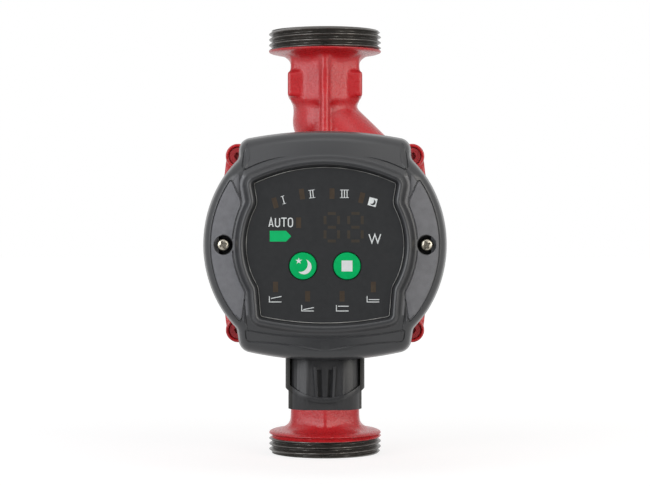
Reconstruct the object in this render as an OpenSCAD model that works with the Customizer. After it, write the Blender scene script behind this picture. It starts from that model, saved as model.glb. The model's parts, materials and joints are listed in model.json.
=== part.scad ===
// In-line heating circulator pump: cast housing with two threaded ports, wet-rotor motor,
// control box with a display and two keys, and a pull-off power plug. Millimetres.
// Z runs up the port axis from the lower port's end face. The front faces -Y.

/* [Ports] */
// Distance between the end faces of the two ports
port_span = 180; // [176:1:190]
// Major diameter of the port threads, G 1 1/2
thread_d = 47.8; // [45:0.1:50]
// Height of a threaded collar with its painted lip
collar_h = 10; // [9:0.1:11]
// Width of the blend between a collar and its neck
collar_blend = 7; // [6:0.1:8]
// Bore at the mouth of a port
mouth_d = 26; // [24.5:0.1:28]
// Depth of the mouth bore
mouth_depth = 9; // [7:0.1:11]
// Bore of the necks and water passages
bore_d = 22; // [20:0.1:23]

/* [Necks] */
// Width of the six-sided necks across their side faces
neck_w = 29.2; // [28:0.1:31]
// Diameter of the round part of the upper neck and of the outlet branch
branch_d = 27; // [26:0.1:28.5]
// Width of the rib down the front of the upper neck
neck_rib_w = 3.2; // [2:0.1:4.5]
// Height of the rib above the neck's front edge
neck_rib_h = 0.9; // [0.5:0.1:1.5]
// Width across the two spanner pads
pad_w = 31.5; // [31.2:0.1:33]
// Depth of the spanner pads, front to back
pad_depth = 23.4; // [22.5:0.1:25]
// Height of the spanner pads
pad_h = 10.4; // [8:0.1:11]
// Distance of the spanner pads from the upper port's end face
pad_drop = 18; // [17:0.1:19]

/* [Volute] */
// Outer radius of the volute just after its tongue
volute_start_r = 40; // [38.5:0.1:41]
// Outer radius of the volute at its outlet
volute_end_r = 48.5; // [47:0.1:50]
// Wall of the volute
volute_wall = 5; // [4.5:0.1:5.5]
// Angle of the tongue and of the outlet, from the +X side
tongue_angle = 45; // [43:1:47]
// Rounding of the volute's rear edge
volute_round = 14; // [12:0.5:15]
// Depth of the rear suction chamber behind the port axis
chamber_back = 28; // [27.5:0.5:30]
// Radius of the rear suction chamber about the motor axis
chamber_r = 24; // [23:0.5:26]

/* [Motor] */
// Distance of the housing joint in front of the port axis
joint_d = 24; // [23:0.5:26]
// Length of the motor housing
motor_len = 38; // [37:0.5:42]
// Diameter of the motor housing
motor_od = 89; // [87:0.5:91]
// Wall of the motor housing
motor_wall = 3; // [2.6:0.1:3.4]
// Thickness of each joint flange
flange_t = 8; // [7:0.5:9]
// Height of the screw towers above the joint
tower_h = 19; // [17:0.5:22]
// Sideways and upward distance of the motor screws from the motor axis
screw_pitch = 35.3; // [34.5:0.1:36]
// Radius of the screw towers
tower_r = 5.2; // [5:0.1:5.6]
// Diameter of a motor screw
screw_d = 4; // [3.6:0.1:4.3]
// Diameter of a motor screw's head
screw_head_d = 7; // [6.6:0.1:7.4]

/* [Rotor and stator] */
// Diameter of the ceramic shaft
shaft_d = 8; // [7:0.1:9]
// Outer diameter of the rotor's steel sleeve
rotor_od = 31; // [29:0.1:31.5]
// Running gap between rotor and can
rotor_gap = 0.5; // [0.4:0.05:0.7]
// Wall of the rotor can
can_wall = 0.7; // [0.5:0.05:0.9]
// Outer diameter of the impeller
impeller_d = 56; // [52:0.5:58]
// Diameter of the impeller's eye
eye_d = 21; // [19:0.5:22]
// Number of impeller blades
blade_count = 6; // [5:1:8]
// Width of a stator tooth
tooth_w = 8; // [7:0.1:8.5]

/* [Control box] */
// Radius of the control box at its sides
box_r = 46.65; // [46:0.05:48]
// Step from the box's sides in to its upper shoulders
box_shoulder = 13.65; // [13.2:0.05:14.1]
// Height of the box's top edge above the motor axis
box_top = 43.5; // [42.5:0.1:44.5]
// Depth of the box's bottom edge below the motor axis
box_bottom = 44.3; // [43.5:0.1:45]
// Depth of the rear base of the box
base_depth = 8; // [7:0.1:9]
// Depth of the front cover, to the frame round the display
cover_depth = 27.4; // [27:0.1:29]
// Wall of the front cover
cover_wall = 2.3; // [2:0.1:2.5]
// Rounding of the cover's front edge
cover_round = 4.5; // [3.5:0.1:5]
// Fall of the front face towards the top edge
top_fall = 4.2; // [3:0.1:5]
// Fall of the front face towards the bottom edge
bottom_fall = 2.6; // [2:0.1:3.5]
// Height of the rolled rim round the display
rim_h = 1.7; // [1.2:0.1:2.2]
// Width of the rolled rim
rim_w = 4.7; // [4.2:0.1:5]
// Distance of the cover screws in from the sides of the box
cover_screw_x = 8.05; // [7.8:0.05:8.4]
// Diameter of the recesses over the cover screws
cover_recess_d = 7.2; // [6.6:0.1:7.4]
// Width of the grooves in the front face
groove_w = 0.6; // [0.4:0.05:0.8]

/* [Display] */
// Radius of the display film at its sides
film_r = 29.8; // [29.4:0.1:30.2]
// Height of the film's top edge above the motor axis
film_top = 29.3; // [28.8:0.1:29.8]
// Depth of the film's bottom edge below the motor axis
film_bottom = 29.5; // [29:0.1:30]
// Thickness of the film
film_t = 0.5; // [0.4:0.05:0.8]
// Diameter of the two round keys
key_d = 10.2; // [9.6:0.1:10.6]
// Sideways distance of the keys from the motor axis
key_x = 8.3; // [7.6:0.1:8.8]
// Distance of the keys below the motor axis
key_drop = 7.9; // [7:0.1:8.5]
// Travel of a key
key_travel = 0.5; // [0.3:0.05:0.6]

/* [Power plug] */
// Width of the plug's lower body
plug_w = 28.4; // [27:0.1:29]
// Depth of the plug's lower body, front to back
plug_depth = 19; // [18:0.1:19.5]
// Height of the raised rim round the plug
plug_rim = 1.1; // [0.9:0.1:1.3]
// Height of the plug's lower end above the lower port's end face
plug_bottom = 26.5; // [25:0.1:28]
// Bore for the power cable
cable_d = 7.4; // [6.6:0.1:8]

/* [Hidden] */
$fn = 96;
eps = 0.01;
// Gap between parts that are pressed, bonded or screwed together
seat_gap = 0.03;
// Gap between parts that only stand next to each other
loose_gap = 0.3;
// Radial running clearance of the shaft in its bearings
bearing_gap = 0.05;
// Clearance of a screw in its through hole
hole_gap = 0.25;

axis_z = port_span / 2;
neck_corner_r = neck_w / 2 / cos(30);
pad_top = port_span - pad_drop;
neck_bottom = pad_top - pad_h - 2;
neck_taper = 3;
motor_front = joint_d + motor_len;
screw_seat_d = joint_d + tower_h - screw_d - 1;
motor_ir = motor_od / 2 - motor_wall;

// Outlet branch: its centre line leaves the volute at the tongue angle and meets the port axis
branch_r = branch_d / 2;
branch_line_r = volute_end_r + 1.5 - branch_r;
branch_joint_y = branch_line_r / sin(tongue_angle);
branch_dip = 14;
branch_len = branch_joint_y * cos(tongue_angle) / cos(branch_dip);

// Levels inside the housing, measured forwards from the port axis
divider_front = 5;
divider_back = 0.5;
seat_depth = 4;
seat_d = joint_d - seat_depth;
seat_r = impeller_d / 2 + 7;
plate_t = 1.2;
can_flange_t = 0.8;
plate_front = seat_d + plate_t;
can_flange_front = plate_front + can_flange_t;
impeller_back = divider_front + 2.2;
impeller_front = seat_d - 1.2;
shroud_t = 1.5;
eye_ring_r = eye_d / 2 + 4;
suction_r = bore_d / 2 - 1.5;
suction_d = divider_back - 3.5 - suction_r;
suction_rise = 18;
suction_wall = 4;
lower_bore_top = axis_z - volute_r(225) - 5;
suction_start = lower_bore_top - suction_rise / 3;

// Levels inside the motor
can_ir = rotor_od / 2 + rotor_gap;
can_or = can_ir + can_wall;
can_end = motor_front - motor_wall - 2;
bearing_r = shaft_d / 2 + 3;
bearing_len = 7;
front_bearing_d = plate_front + 0.6;
thrust_t = 2;
thrust_d = front_bearing_d + bearing_len + loose_gap;
rotor_d = thrust_d + thrust_t + 0.2;
rear_bearing_d = can_end - can_wall - bearing_len;
rotor_len = rear_bearing_d - rotor_d - 1;
tooth_count = 6;
stator_len = rotor_len - 3;
stator_d = rotor_d + 1.5;
stator_ir = can_or + 0.4;
yoke_ir = motor_ir - 7;
coil_t = 3.6;
coil_head = 4;
bobbin_t = 0.8;
coil_r0 = stator_ir + 4.5;
coil_r1 = yoke_ir - 0.6;
pin_pitch = 4;
pin_r = 0.6;
pin_slot_w = 2 * pin_pitch + 6;
pin_slot_h = 5;

// Levels of the control box, measured forwards from the port axis
base_back = motor_front + loose_gap;
base_t = 3;
base_front = base_back + base_depth;
seal_t = 0.8;
cover_back = base_front + seal_t;
frame_d = cover_back + cover_depth;
film_seat_d = frame_d - 1 - film_t;
film_front_d = film_seat_d + film_t;
panel_t = 2.2;
panel_back_d = film_seat_d - panel_t;
board_t = 1.6;
board_front_d = panel_back_d - 6.2;
board_back_d = board_front_d - board_t;
post_r = 4.2;
post_front_d = frame_d - 9.5;
recess_floor_d = frame_d - 6;
cover_screw_d = 3;
cover_screw_head_d = 5.2;
cover_screw_head_h = 2;
base_screw_d = 3;
base_screw_r = 27;

// Circuit board, cut off above the power socket, the posts that carry it and what hangs from its back
cover_screw_r = box_r - cover_screw_x;
board_r = cover_screw_r - post_r - 1.5;
board_post_r = 2;
board_post_edge = 5.9;
board_post_low = -22;
board_post_spread = 18;
pin_post_gap = 0.5;
pin_y = board_r - board_post_edge - board_post_r - pin_slot_h / 2 - pin_post_gap;
capacitor_place = [-14, 10];
capacitor_r = 5;
capacitor_len = 12;
choke_place = [12, 6];
choke_r = 6.5;
choke_bore_r = 2.8;
choke_h = 8;

// Outlines of the box and of the film: side radius, notch radius, then for the top and for the bottom
// the shoulder distance, shoulder lean, corner radius, edge height and edge radius
upper_shoulder = box_r - box_shoulder;
lower_shoulder = upper_shoulder + 4.7;
box_shape = [box_r, 3, upper_shoulder, 0, 4.6, box_top, 165, lower_shoulder, 7.5, 5, box_bottom, 148];
film_shape = [film_r, 7, film_r - 7.6, -10.5, 1, film_top, 62, film_r - 3.4, 4.6, 1, film_bottom, 115];

// Key levels
key_rise = key_travel + 0.1;
key_r = key_d / 2;
key_flange_t = 0.8;
key_front_d = film_front_d + key_rise;
key_flange_front = panel_back_d - loose_gap;
switch_w = 6;
switch_h = 2.6;
plunger_r = 1.6;
plunger_front_d = key_flange_front - key_flange_t;

// Places of the indicator windows: sideways, upwards and tilt
window_places = [
    [-18.9, 15.9, 15], [-8.7, 19.2, 8], [2.6, 19.4, 0], [13.9, 17.8, -14], [-9.9, 8.4, 0],
    [-18.6, -15.8, 0], [-6.5, -19.3, 0], [6.5, -19.3, 0], [18.6, -15.8, 0]
];
window_w = 1.9;
window_h = 3.8;
digit_x = 7;
digit_y = 6.7;
digit_w = 17;
digit_h = 13;

// Plug levels; the plug stands upright under the box, level with its rear half
plug_rear_d = base_back + base_t + 1.6;
plug_d = plug_rear_d + plug_rim + plug_depth / 2;
plug_corner = 8.6;
plug_full_w = plug_w + 2 * plug_rim;
plug_full_depth = plug_depth + 2 * plug_rim;
base_rim_t = 2;
plug_entry = cover_wall + loose_gap + base_rim_t + 1;
plug_top = axis_z - box_bottom + plug_entry;
plug_h = plug_top - plug_bottom;
plug_wall = 2;
insert_h = plug_h / 4;
chamber_floor = plug_bottom + 0.38 * plug_h;
contact_root = 0.65 * insert_h;
nose_w = 21;
nose_depth = 10;
nose_h = 11;
nose_top = plug_top + nose_h;
nose_pitch = 6;
blade_w = 2.4;
blade_t = 0.8;
contact_wall = 0.4;
contact_gap = loose_gap;
socket_wall = 1.6;
socket_bottom = plug_top + loose_gap;
socket_top = nose_top + loose_gap + socket_wall;
grommet_r = cable_d / 2 + 1.8;
grommet_h = 5;
mouth_gap = 0.35;
// Latch tongue on the plug's front, seen from the front: half widths at its top and at its lower end
latch_top = plug_bottom + 0.63 * plug_h;
latch_bottom = plug_bottom + 0.2 * plug_h;
tongue_half = [1.3, 0.9];
slot_half = [3.2, 2.7];
latch_rib_half = [4.4, 3.6];
latch_depth = 1.4;
latch_rib_h = 0.5;

// Shared shapes

// Turns x, y, z into right, up and forwards from the crossing of the port axis and the motor axis
module on_motor_axis() {
    translate([0, 0, axis_z])
        rotate([90, 0, 0])
            children();
}

// Repeats the children at the four motor screws
module at_motor_screws() {
    for (side = [-1, 1], level = [-1, 1])
        translate([side * screw_pitch, level * screw_pitch, 0])
            children();
}

// Repeats the children round an axis
module around(count) {
    for (i = [0 : count - 1])
        rotate(i * 360 / count)
            children();
}

// A round bar between two levels
module bar(r, from, to) {
    translate([0, 0, from])
        cylinder(r = r, h = to - from);
}

// A round ring between two levels
module ring(outer_r, inner_r, from, to) {
    difference() {
        bar(outer_r, from, to);
        bar(inner_r, from - 1, to + 1);
    }
}

// A box centred on x and y between two levels
module block(w, h, from, to) {
    translate([-w / 2, -h / 2, from])
        cube([w, h, to - from]);
}

// Points on an arc, without its last point
function arc(centre, r, from, to, steps) = [
    for (i = [0 : steps - 1])
        let (a = from + (to - from) * i / steps)
        centre + r * [cos(a), sin(a)]
];

// Points on an arc, with its last point
function full_arc(centre, r, from, to, steps) =
    concat(arc(centre, r, from, to, steps), [centre + r * [cos(to), sin(to)]]);

// Points of a rectangle with round corners
function round_rect(w, h, r, steps = 10) = [
    for (q = [0 : 3])
        let (sx = q == 0 || q == 3 ? 1 : -1, sy = q < 2 ? 1 : -1)
        each full_arc([sx * (w / 2 - r), sy * (h / 2 - r)], r, q * 90, q * 90 + 90, steps)
];

// One end of a shield outline on its right side, as arcs: [centre, radius, start angle, end angle].
// The end is described as if it were the top, by its shoulder distance and lean, its corner radius,
// and its edge height and edge radius.
function shield_end(side_r, notch_r, shoulder, lean, corner_r, edge, edge_r) =
    let (
        out = [cos(lean), sin(lean)],
        along = [-sin(lean), cos(lean)],
        edge_c = [0, edge - edge_r],
        reach = shoulder - corner_r - edge_c * out,
        corner_up = edge_c * along + sqrt(pow(edge_r - corner_r, 2) - pow(reach, 2)),
        corner = (shoulder - corner_r) * out + corner_up * along,
        room_r = (pow(corner_up, 2) + pow(shoulder, 2) - pow(side_r, 2)) / (side_r - shoulder) / 2,
        fillet_r = min(notch_r, room_r),
        notch_up = sqrt(pow(side_r + fillet_r, 2) - pow(shoulder + fillet_r, 2)),
        notch = (shoulder + fillet_r) * out + notch_up * along,
        side_a = atan2(notch[1], notch[0]),
        edge_a = atan2(corner[1] - edge_c[1], corner[0])
    )
    [
        [notch, fillet_r, 180 + side_a, 180 + lean],
        [corner, corner_r, lean, edge_a],
        [edge_c, edge_r, edge_a, 90],
        side_a
    ];

// Right half of one end, from the side arc to the middle of the edge, moved outwards by grow
function shield_end_points(end, grow) = concat(
    full_arc(end[0][0], end[0][1] - grow, end[0][2], end[0][3], 5),
    arc(end[1][0], end[1][1] + grow, end[1][2], end[1][3], 6),
    arc(end[2][0], end[2][1] + grow, end[2][2], end[2][3], 9)
);

// Points of a shield outline, counter-clockwise from the right, moved outwards by grow
function shield(s, grow = 0) =
    let (
        top = shield_end(s[0], s[1], s[2], s[3], s[4], s[5], s[6]),
        low = shield_end(s[0], s[1], s[7], s[8], s[9], s[10], s[11]),
        upper = shield_end_points(top, grow),
        lower = shield_end_points(low, grow),
        n = len(upper),
        side = arc([0, 0], s[0] + grow, -low[3], top[3], 26),
        right = concat([for (i = [n - 1 : -1 : 1]) [lower[i][0], -lower[i][1]]], side, upper),
        left = [for (i = [len(right) - 1 : -1 : 0]) [-right[i][0], right[i][1]]]
    )
    concat([[0, -s[10] - grow]], right, [[0, s[5] + grow]], left);

// A solid through rings of equal point counts, closed flat at both ends
module loft(rings) {
    n = len(rings[0]);
    last = len(rings) - 1;
    walls = [
        for (k = [0 : last - 1], i = [0 : n - 1])
            let (
                low = k * n + i,
                low_next = k * n + (i + 1) % n,
                high = low + n,
                high_next = low_next + n
            )
            each [[low, high, high_next], [low, high_next, low_next]]
    ];
    first_end = [for (i = [0 : n - 1]) i];
    last_end = [for (i = [n - 1 : -1 : 0]) last * n + i];
    polyhedron(points = [for (r = rings) each r], faces = concat([first_end], walls, [last_end]));
}

// A flat outline raised to one level
function at_level(points, level) = [for (p = points) [p[0], p[1], level]];

// Hydraulic end

// Outer radius of the volute at an angle past its tongue
function volute_r(a) = volute_start_r + (volute_end_r - volute_start_r) * a / 360;

// Spiral outline of the volute, moved inwards by inset
function volute_points(inset) = [
    for (a = [0 : 5 : 355])
        (volute_r(a) - inset) * [cos(a + tongue_angle), sin(a + tongue_angle)]
];

// Joint flange: the motor's circle with a tangent web out to each screw tower
module joint_flange() {
    r = motor_od / 2;
    reach = screw_pitch * sqrt(2);
    spread = acos((r - tower_r) / reach);
    circle(r = r);
    at_motor_screws()
        circle(r = tower_r);
    around(4)
        rotate(45)
            polygon([
                [0, 0],
                r * [cos(spread), -sin(spread)],
                [reach, 0] + tower_r * [cos(spread), -sin(spread)],
                [reach, 0] + tower_r * [cos(spread), sin(spread)],
                r * [cos(spread), sin(spread)]
            ]);
}

// Threaded collar of a port with its thin lip and the flat oval blend into the neck
module port_collar() {
    r = thread_d / 2;
    lip = 0.3;
    lip_t = 0.6;
    neck_r = neck_w / 2 - 0.4;
    blend_h = 0.75 * collar_blend;
    blend_steps = 7;
    rotate_extrude()
        polygon(concat(
            [[0, 0], [r, 0], [r, collar_h - 2 * lip_t], [r + lip, collar_h - lip_t]],
            [for (i = [0 : blend_steps])
                let (turn = 90 * i / blend_steps)
                [neck_r + collar_blend * (1 - sin(turn)), collar_h + blend_h * (1 - cos(turn))]],
            [[0, collar_h + blend_h]]
        ));
}

// Six-sided neck with an edge to the front
module six_sided_neck(from, to) {
    translate([0, 0, from])
        rotate(30)
            cylinder(r = neck_corner_r, h = to - from, $fn = 6);
}

// Rib down the front of the upper neck and of the outlet branch under it
module neck_rib() {
    high_front = neck_corner_r + neck_rib_h;
    low_front = branch_r + neck_rib_h;
    root = branch_r - 1.5;
    foot = axis_z + branch_joint_y - 24;
    top = port_span - collar_h - 1;
    step_top = pad_top - pad_h;
    translate([-neck_rib_w / 2, 0, 0])
        rotate([90, 0, 90])
            linear_extrude(neck_rib_w)
                polygon([
                    [-low_front, foot],
                    [-low_front, step_top - 3 * neck_taper],
                    [-high_front, step_top],
                    [-high_front, top],
                    [-root, top],
                    [-root, foot]
                ]);
}

// Outlet branch with its elbow under the upper neck, also used for the passage inside them
module outlet_branch(r, elbow_r, top) {
    translate([0, 0, axis_z + branch_joint_y])
        sphere(r = elbow_r);
    translate([0, 0, axis_z + branch_joint_y])
        cylinder(r = r, h = top - axis_z - branch_joint_y);
    on_motor_axis()
        translate([0, branch_joint_y, 0])
            rotate([0, 90, tongue_angle - 90])
                rotate([0, -branch_dip, 0]) {
                    cylinder(r = r, h = branch_len);
                    translate([0, 0, branch_len])
                        sphere(r = elbow_r);
                }
}

// Bent pipe from the lower neck to behind the impeller's eye, for the wall and for the passage in it
module suction_pipe(r, bend_r) {
    lean = atan2(-suction_d, suction_rise);
    translate([0, 0, suction_start]) {
        sphere(r = bend_r);
        rotate([-lean, 0, 0])
            cylinder(r = r, h = suction_rise / cos(lean));
    }
    translate([0, -suction_d, suction_start + suction_rise]) {
        sphere(r = bend_r);
        cylinder(r = r, h = axis_z - suction_start - suction_rise);
    }
}

// Round cap behind the impeller's eye
module suction_cap() {
    edge = 7;
    on_motor_axis()
        rotate_extrude()
            polygon(concat(
                [[0, 1], [0, -chamber_back]],
                full_arc([chamber_r - edge, edge - chamber_back], edge, 270, 360, 6),
                [[chamber_r, 1]]
            ));
}

module volute_body() {
    rings = concat(
        [at_level(volute_points(0), joint_d - flange_t / 2)],
        [for (t = [0 : 18 : 90])
            at_level(volute_points(volute_round * (1 - cos(t))), divider_back + 7 - volute_round * sin(t))]
    );
    loft([for (k = [len(rings) - 1 : -1 : 0]) rings[k]]);
}

module pump_housing() {
    color([0.76, 0.2, 0.22])
        difference() {
            union() {
                port_collar();
                translate([0, 0, port_span])
                    mirror([0, 0, 1])
                        port_collar();
                six_sided_neck(collar_h + 0.5, axis_z - volute_start_r);
                six_sided_neck(neck_bottom, port_span - collar_h - 0.5);
                translate([0, 0, neck_bottom - neck_taper])
                    rotate(30)
                        cylinder(r1 = branch_r, r2 = neck_corner_r, h = neck_taper + eps, $fn = 6);
                translate([0, 0, pad_top - pad_h])
                    block(pad_w, pad_depth, 0, pad_h);
                neck_rib();
                outlet_branch(branch_r, branch_r + 0.3, pad_top - pad_h / 2);
                on_motor_axis()
                    volute_body();
                on_motor_axis()
                    translate([0, 0, joint_d - flange_t])
                        linear_extrude(flange_t)
                            joint_flange();
                suction_pipe(suction_r + suction_wall, suction_r + suction_wall + 0.3);
                suction_cap();
            }
            // Port mouths and water passages
            translate([0, 0, -1])
                cylinder(d = mouth_d, h = mouth_depth + 1);
            translate([0, 0, port_span - mouth_depth])
                cylinder(d = mouth_d, h = mouth_depth + 1);
            translate([0, 0, mouth_depth / 2])
                cylinder(d = bore_d, h = suction_start - mouth_depth / 2);
            suction_pipe(suction_r, suction_r + 0.2);
            on_motor_axis()
                translate([0, 0, suction_d])
                    sphere(r = eye_d / 2 + 1.3);
            on_motor_axis()
                bar(eye_d / 2 + 1, suction_d, divider_front);
            outlet_branch(bore_d / 2 - 1.2, bore_d / 2 - 0.9, port_span - mouth_depth / 2);
            on_motor_axis()
                bar(eye_ring_r, divider_back + 1, divider_front + 1);
            // Volute chamber, its front opening and the seat for the bearing plate
            on_motor_axis()
                translate([0, 0, divider_front])
                    linear_extrude(joint_d - flange_t - divider_front + 2)
                        polygon(volute_points(volute_wall));
            on_motor_axis()
                bar(seat_r - 2.5, divider_front + 1, joint_d + 1);
            on_motor_axis()
                bar(seat_r, seat_d, joint_d + 1);
            on_motor_axis()
                at_motor_screws()
                    bar(screw_d / 2 + seat_gap, joint_d - flange_t + 1.5, joint_d + 1);
        }
}

module neck_ring() {
    color([0.75, 0.76, 0.78])
        on_motor_axis()
            ring(eye_ring_r - seat_gap, eye_d / 2 + 2 + loose_gap, divider_back + 1, divider_front);
}

// Backward-curved blade between the hub and the rim
module impeller_blade() {
    r = impeller_d / 2;
    bend = 0.62 * r;
    intersection() {
        translate([bend, -0.25 * r])
            difference() {
                circle(r = bend);
                circle(r = bend - 1.6);
            }
        translate([0, -r])
            square([r, r * 2]);
        difference() {
            circle(r = r - 0.5);
            circle(r = eye_d / 2 - 2);
        }
        translate([-r, 0])
            square([2 * r, r]);
    }
}

module impeller() {
    hub_r = shaft_d / 2 + 3;
    color([0.16, 0.16, 0.17])
        on_motor_axis()
            difference() {
                union() {
                    bar(impeller_d / 2, impeller_front - shroud_t, impeller_front);
                    bar(hub_r, impeller_back + 1.5, impeller_front);
                    translate([0, 0, impeller_back + shroud_t])
                        linear_extrude(impeller_front - 1.3 * shroud_t - impeller_back)
                            around(blade_count)
                                impeller_blade();
                }
                bar(shaft_d / 2 + seat_gap, 0, joint_d);
            }
}

module impeller_shroud() {
    color([0.2, 0.2, 0.21])
        on_motor_axis() {
            difference() {
                union() {
                    bar(impeller_d / 2, impeller_back, impeller_back + shroud_t - seat_gap);
                    bar(eye_d / 2 + 2, divider_back + 1.5, impeller_back + 1);
                }
                bar(eye_d / 2, 0, impeller_back + 5);
            }
        }
}

// Motor, wet side

module bearing_plate() {
    hub_r = bearing_r + 2;
    color([0.72, 0.73, 0.75])
        on_motor_axis()
            difference() {
                union() {
                    bar(seat_r - loose_gap, seat_d, plate_front);
                    bar(hub_r, seat_d, front_bearing_d + bearing_len);
                }
                bar(bearing_r + seat_gap, front_bearing_d, front_bearing_d + bearing_len + 1);
                bar(shaft_d / 2 + 0.6, seat_d - 1, front_bearing_d + 1);
            }
}

module front_bearing() {
    color([0.9, 0.88, 0.84])
        on_motor_axis()
            ring(bearing_r, shaft_d / 2 + bearing_gap, front_bearing_d, front_bearing_d + bearing_len);
}

module thrust_ring() {
    color([0.2, 0.2, 0.21])
        on_motor_axis()
            ring(bearing_r, shaft_d / 2 + seat_gap, thrust_d, thrust_d + thrust_t);
}

module rotor_shaft() {
    color([0.93, 0.92, 0.88])
        on_motor_axis()
            difference() {
                bar(shaft_d / 2, impeller_back + 1, can_end - can_wall - 1);
                bar(shaft_d / 6, impeller_back, can_end);
            }
}

module rotor_magnet() {
    color([0.3, 0.3, 0.32])
        on_motor_axis()
            ring(rotor_od / 2 - 0.6, shaft_d / 2 + seat_gap, rotor_d, rotor_d + rotor_len);
}

module rotor_sleeve() {
    color([0.78, 0.79, 0.8])
        on_motor_axis()
            ring(rotor_od / 2, rotor_od / 2 - 0.6 + seat_gap, rotor_d, rotor_d + rotor_len);
}

module rear_bearing() {
    color([0.9, 0.88, 0.84])
        on_motor_axis()
            ring(bearing_r, shaft_d / 2 + bearing_gap, rear_bearing_d, rear_bearing_d + bearing_len);
}

module rotor_can() {
    color([0.74, 0.75, 0.77])
        on_motor_axis()
            difference() {
                union() {
                    bar(seat_r - loose_gap, plate_front, can_flange_front);
                    bar(can_or, plate_front, can_end);
                }
                difference() {
                    bar(can_ir, plate_front - 1, can_end - can_wall);
                    ring(bearing_r + can_wall + seat_gap, bearing_r + seat_gap,
                        rear_bearing_d, can_end);
                }
            }
}

module housing_gasket() {
    color([0.1, 0.1, 0.1])
        on_motor_axis()
            ring(seat_r - loose_gap, seat_r - 5, can_flange_front, joint_d);
}

// Motor, dry side

module stator_tooth() {
    translate([stator_ir + 2, -tooth_w / 2])
        square([yoke_ir - stator_ir, tooth_w]);
    intersection() {
        difference() {
            circle(r = stator_ir + 3);
            circle(r = stator_ir);
        }
        polygon([[0, 0], [60, -60 * tan(24)], [60, 60 * tan(24)]]);
    }
}

module stator_core() {
    color([0.45, 0.46, 0.48])
        on_motor_axis()
            translate([0, 0, stator_d])
                linear_extrude(stator_len) {
                    difference() {
                        circle(r = motor_ir - seat_gap);
                        circle(r = yoke_ir);
                    }
                    around(tooth_count)
                        stator_tooth();
                }
}

// A rectangular frame round a stator tooth, from one radius to another
module tooth_frame(inner, outer, r0, r1) {
    translate([r0, 0, stator_d + stator_len / 2])
        rotate([0, 90, 0])
            difference() {
                block(stator_len + 2 * outer, tooth_w + 2 * outer, 0, r1 - r0);
                block(stator_len + 2 * inner, tooth_w + 2 * inner, -1, r1 - r0 + 1);
            }
}

module stator_bobbins() {
    color([0.9, 0.9, 0.86])
        on_motor_axis()
            around(tooth_count)
                tooth_frame(seat_gap, bobbin_t, coil_r0, coil_r1);
}

module stator_coils() {
    color([0.72, 0.4, 0.2])
        on_motor_axis()
            around(tooth_count)
                tooth_frame(bobbin_t + seat_gap, bobbin_t + coil_t, coil_r0 + 1, coil_r1 - 1);
}

module motor_housing() {
    r = motor_od / 2;
    wall_back = motor_front - motor_wall;
    color([0.76, 0.2, 0.22])
        on_motor_axis()
            difference() {
                union() {
                    bar(r, joint_d + eps, motor_front);
                    translate([0, 0, joint_d])
                        linear_extrude(flange_t)
                            joint_flange();
                    at_motor_screws()
                        bar(tower_r - 0.1, joint_d + 1, joint_d + tower_h);
                    around(4)
                        rotate(45)
                            translate([r - 6, -tower_r + 0.8, joint_d + 1])
                                cube([screw_pitch * sqrt(2) - r + 6, 2 * tower_r - 1.6, tower_h - 1]);
                }
                bar(motor_ir, joint_d + 2, wall_back);
                bar(can_or + 1.5, joint_d - 1, joint_d + 3);
                bar(seat_r - 6, joint_d - 1, joint_d + 3);
                translate([0, pin_y, 0])
                    block(pin_slot_w, pin_slot_h, wall_back - 1, motor_front + 1);
                at_motor_screws() {
                    bar(screw_d / 2 + hole_gap, joint_d - 1, motor_front);
                    bar(screw_head_d / 2 + hole_gap, screw_seat_d, motor_front);
                }
                base_screw_places()
                    bar(base_screw_d / 2 + seat_gap, wall_back - 1, motor_front + 1);
            }
}

module motor_screws() {
    color([0.2, 0.2, 0.21])
        on_motor_axis()
            at_motor_screws()
                difference() {
                    union() {
                        bar(screw_d / 2, joint_d - flange_t + 2.5, screw_seat_d + 1);
                        bar(screw_head_d / 2, screw_seat_d, screw_seat_d + screw_d);
                    }
                    bar(screw_d * 0.43, screw_seat_d + screw_d / 2, screw_seat_d + screw_d + 1, $fn = 6);
                }
}

module phase_pins() {
    color([0.83, 0.68, 0.35])
        on_motor_axis()
            for (i = [-1 : 1])
                translate([i * pin_pitch, pin_y, 0])
                    bar(pin_r, stator_d + stator_len + coil_head + bobbin_t + 1, board_back_d - seat_gap);
}

// Control box

module base_screw_places() {
    for (a = [-30, 30, 150, 210])
        rotate(a)
            translate([base_screw_r, 0, 0])
                children();
}

module cover_screw_places() {
    for (side = [-1, 1])
        translate([side * cover_screw_r, 0, 0])
            children();
}

// Repeats the children at the posts under the circuit board
module at_board_posts() {
    reach = board_r - board_post_edge;
    for (place = [[-reach, 0], [reach, 0], [0, reach]])
        translate(place)
            children();
    for (side = [-1, 1])
        translate([side * board_post_spread, board_post_low, 0])
            children();
}

// Outline of the plug's lower body, moved outwards by grow
function plug_outline(grow) = round_rect(plug_w + 2 * grow, plug_depth + 2 * grow, plug_corner + grow);

// Space for the plug in the underside of the box
module plug_space(gap) {
    translate([0, -plug_d, 0])
        linear_extrude(plug_top + gap)
            polygon(plug_outline(plug_rim + gap));
}

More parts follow.
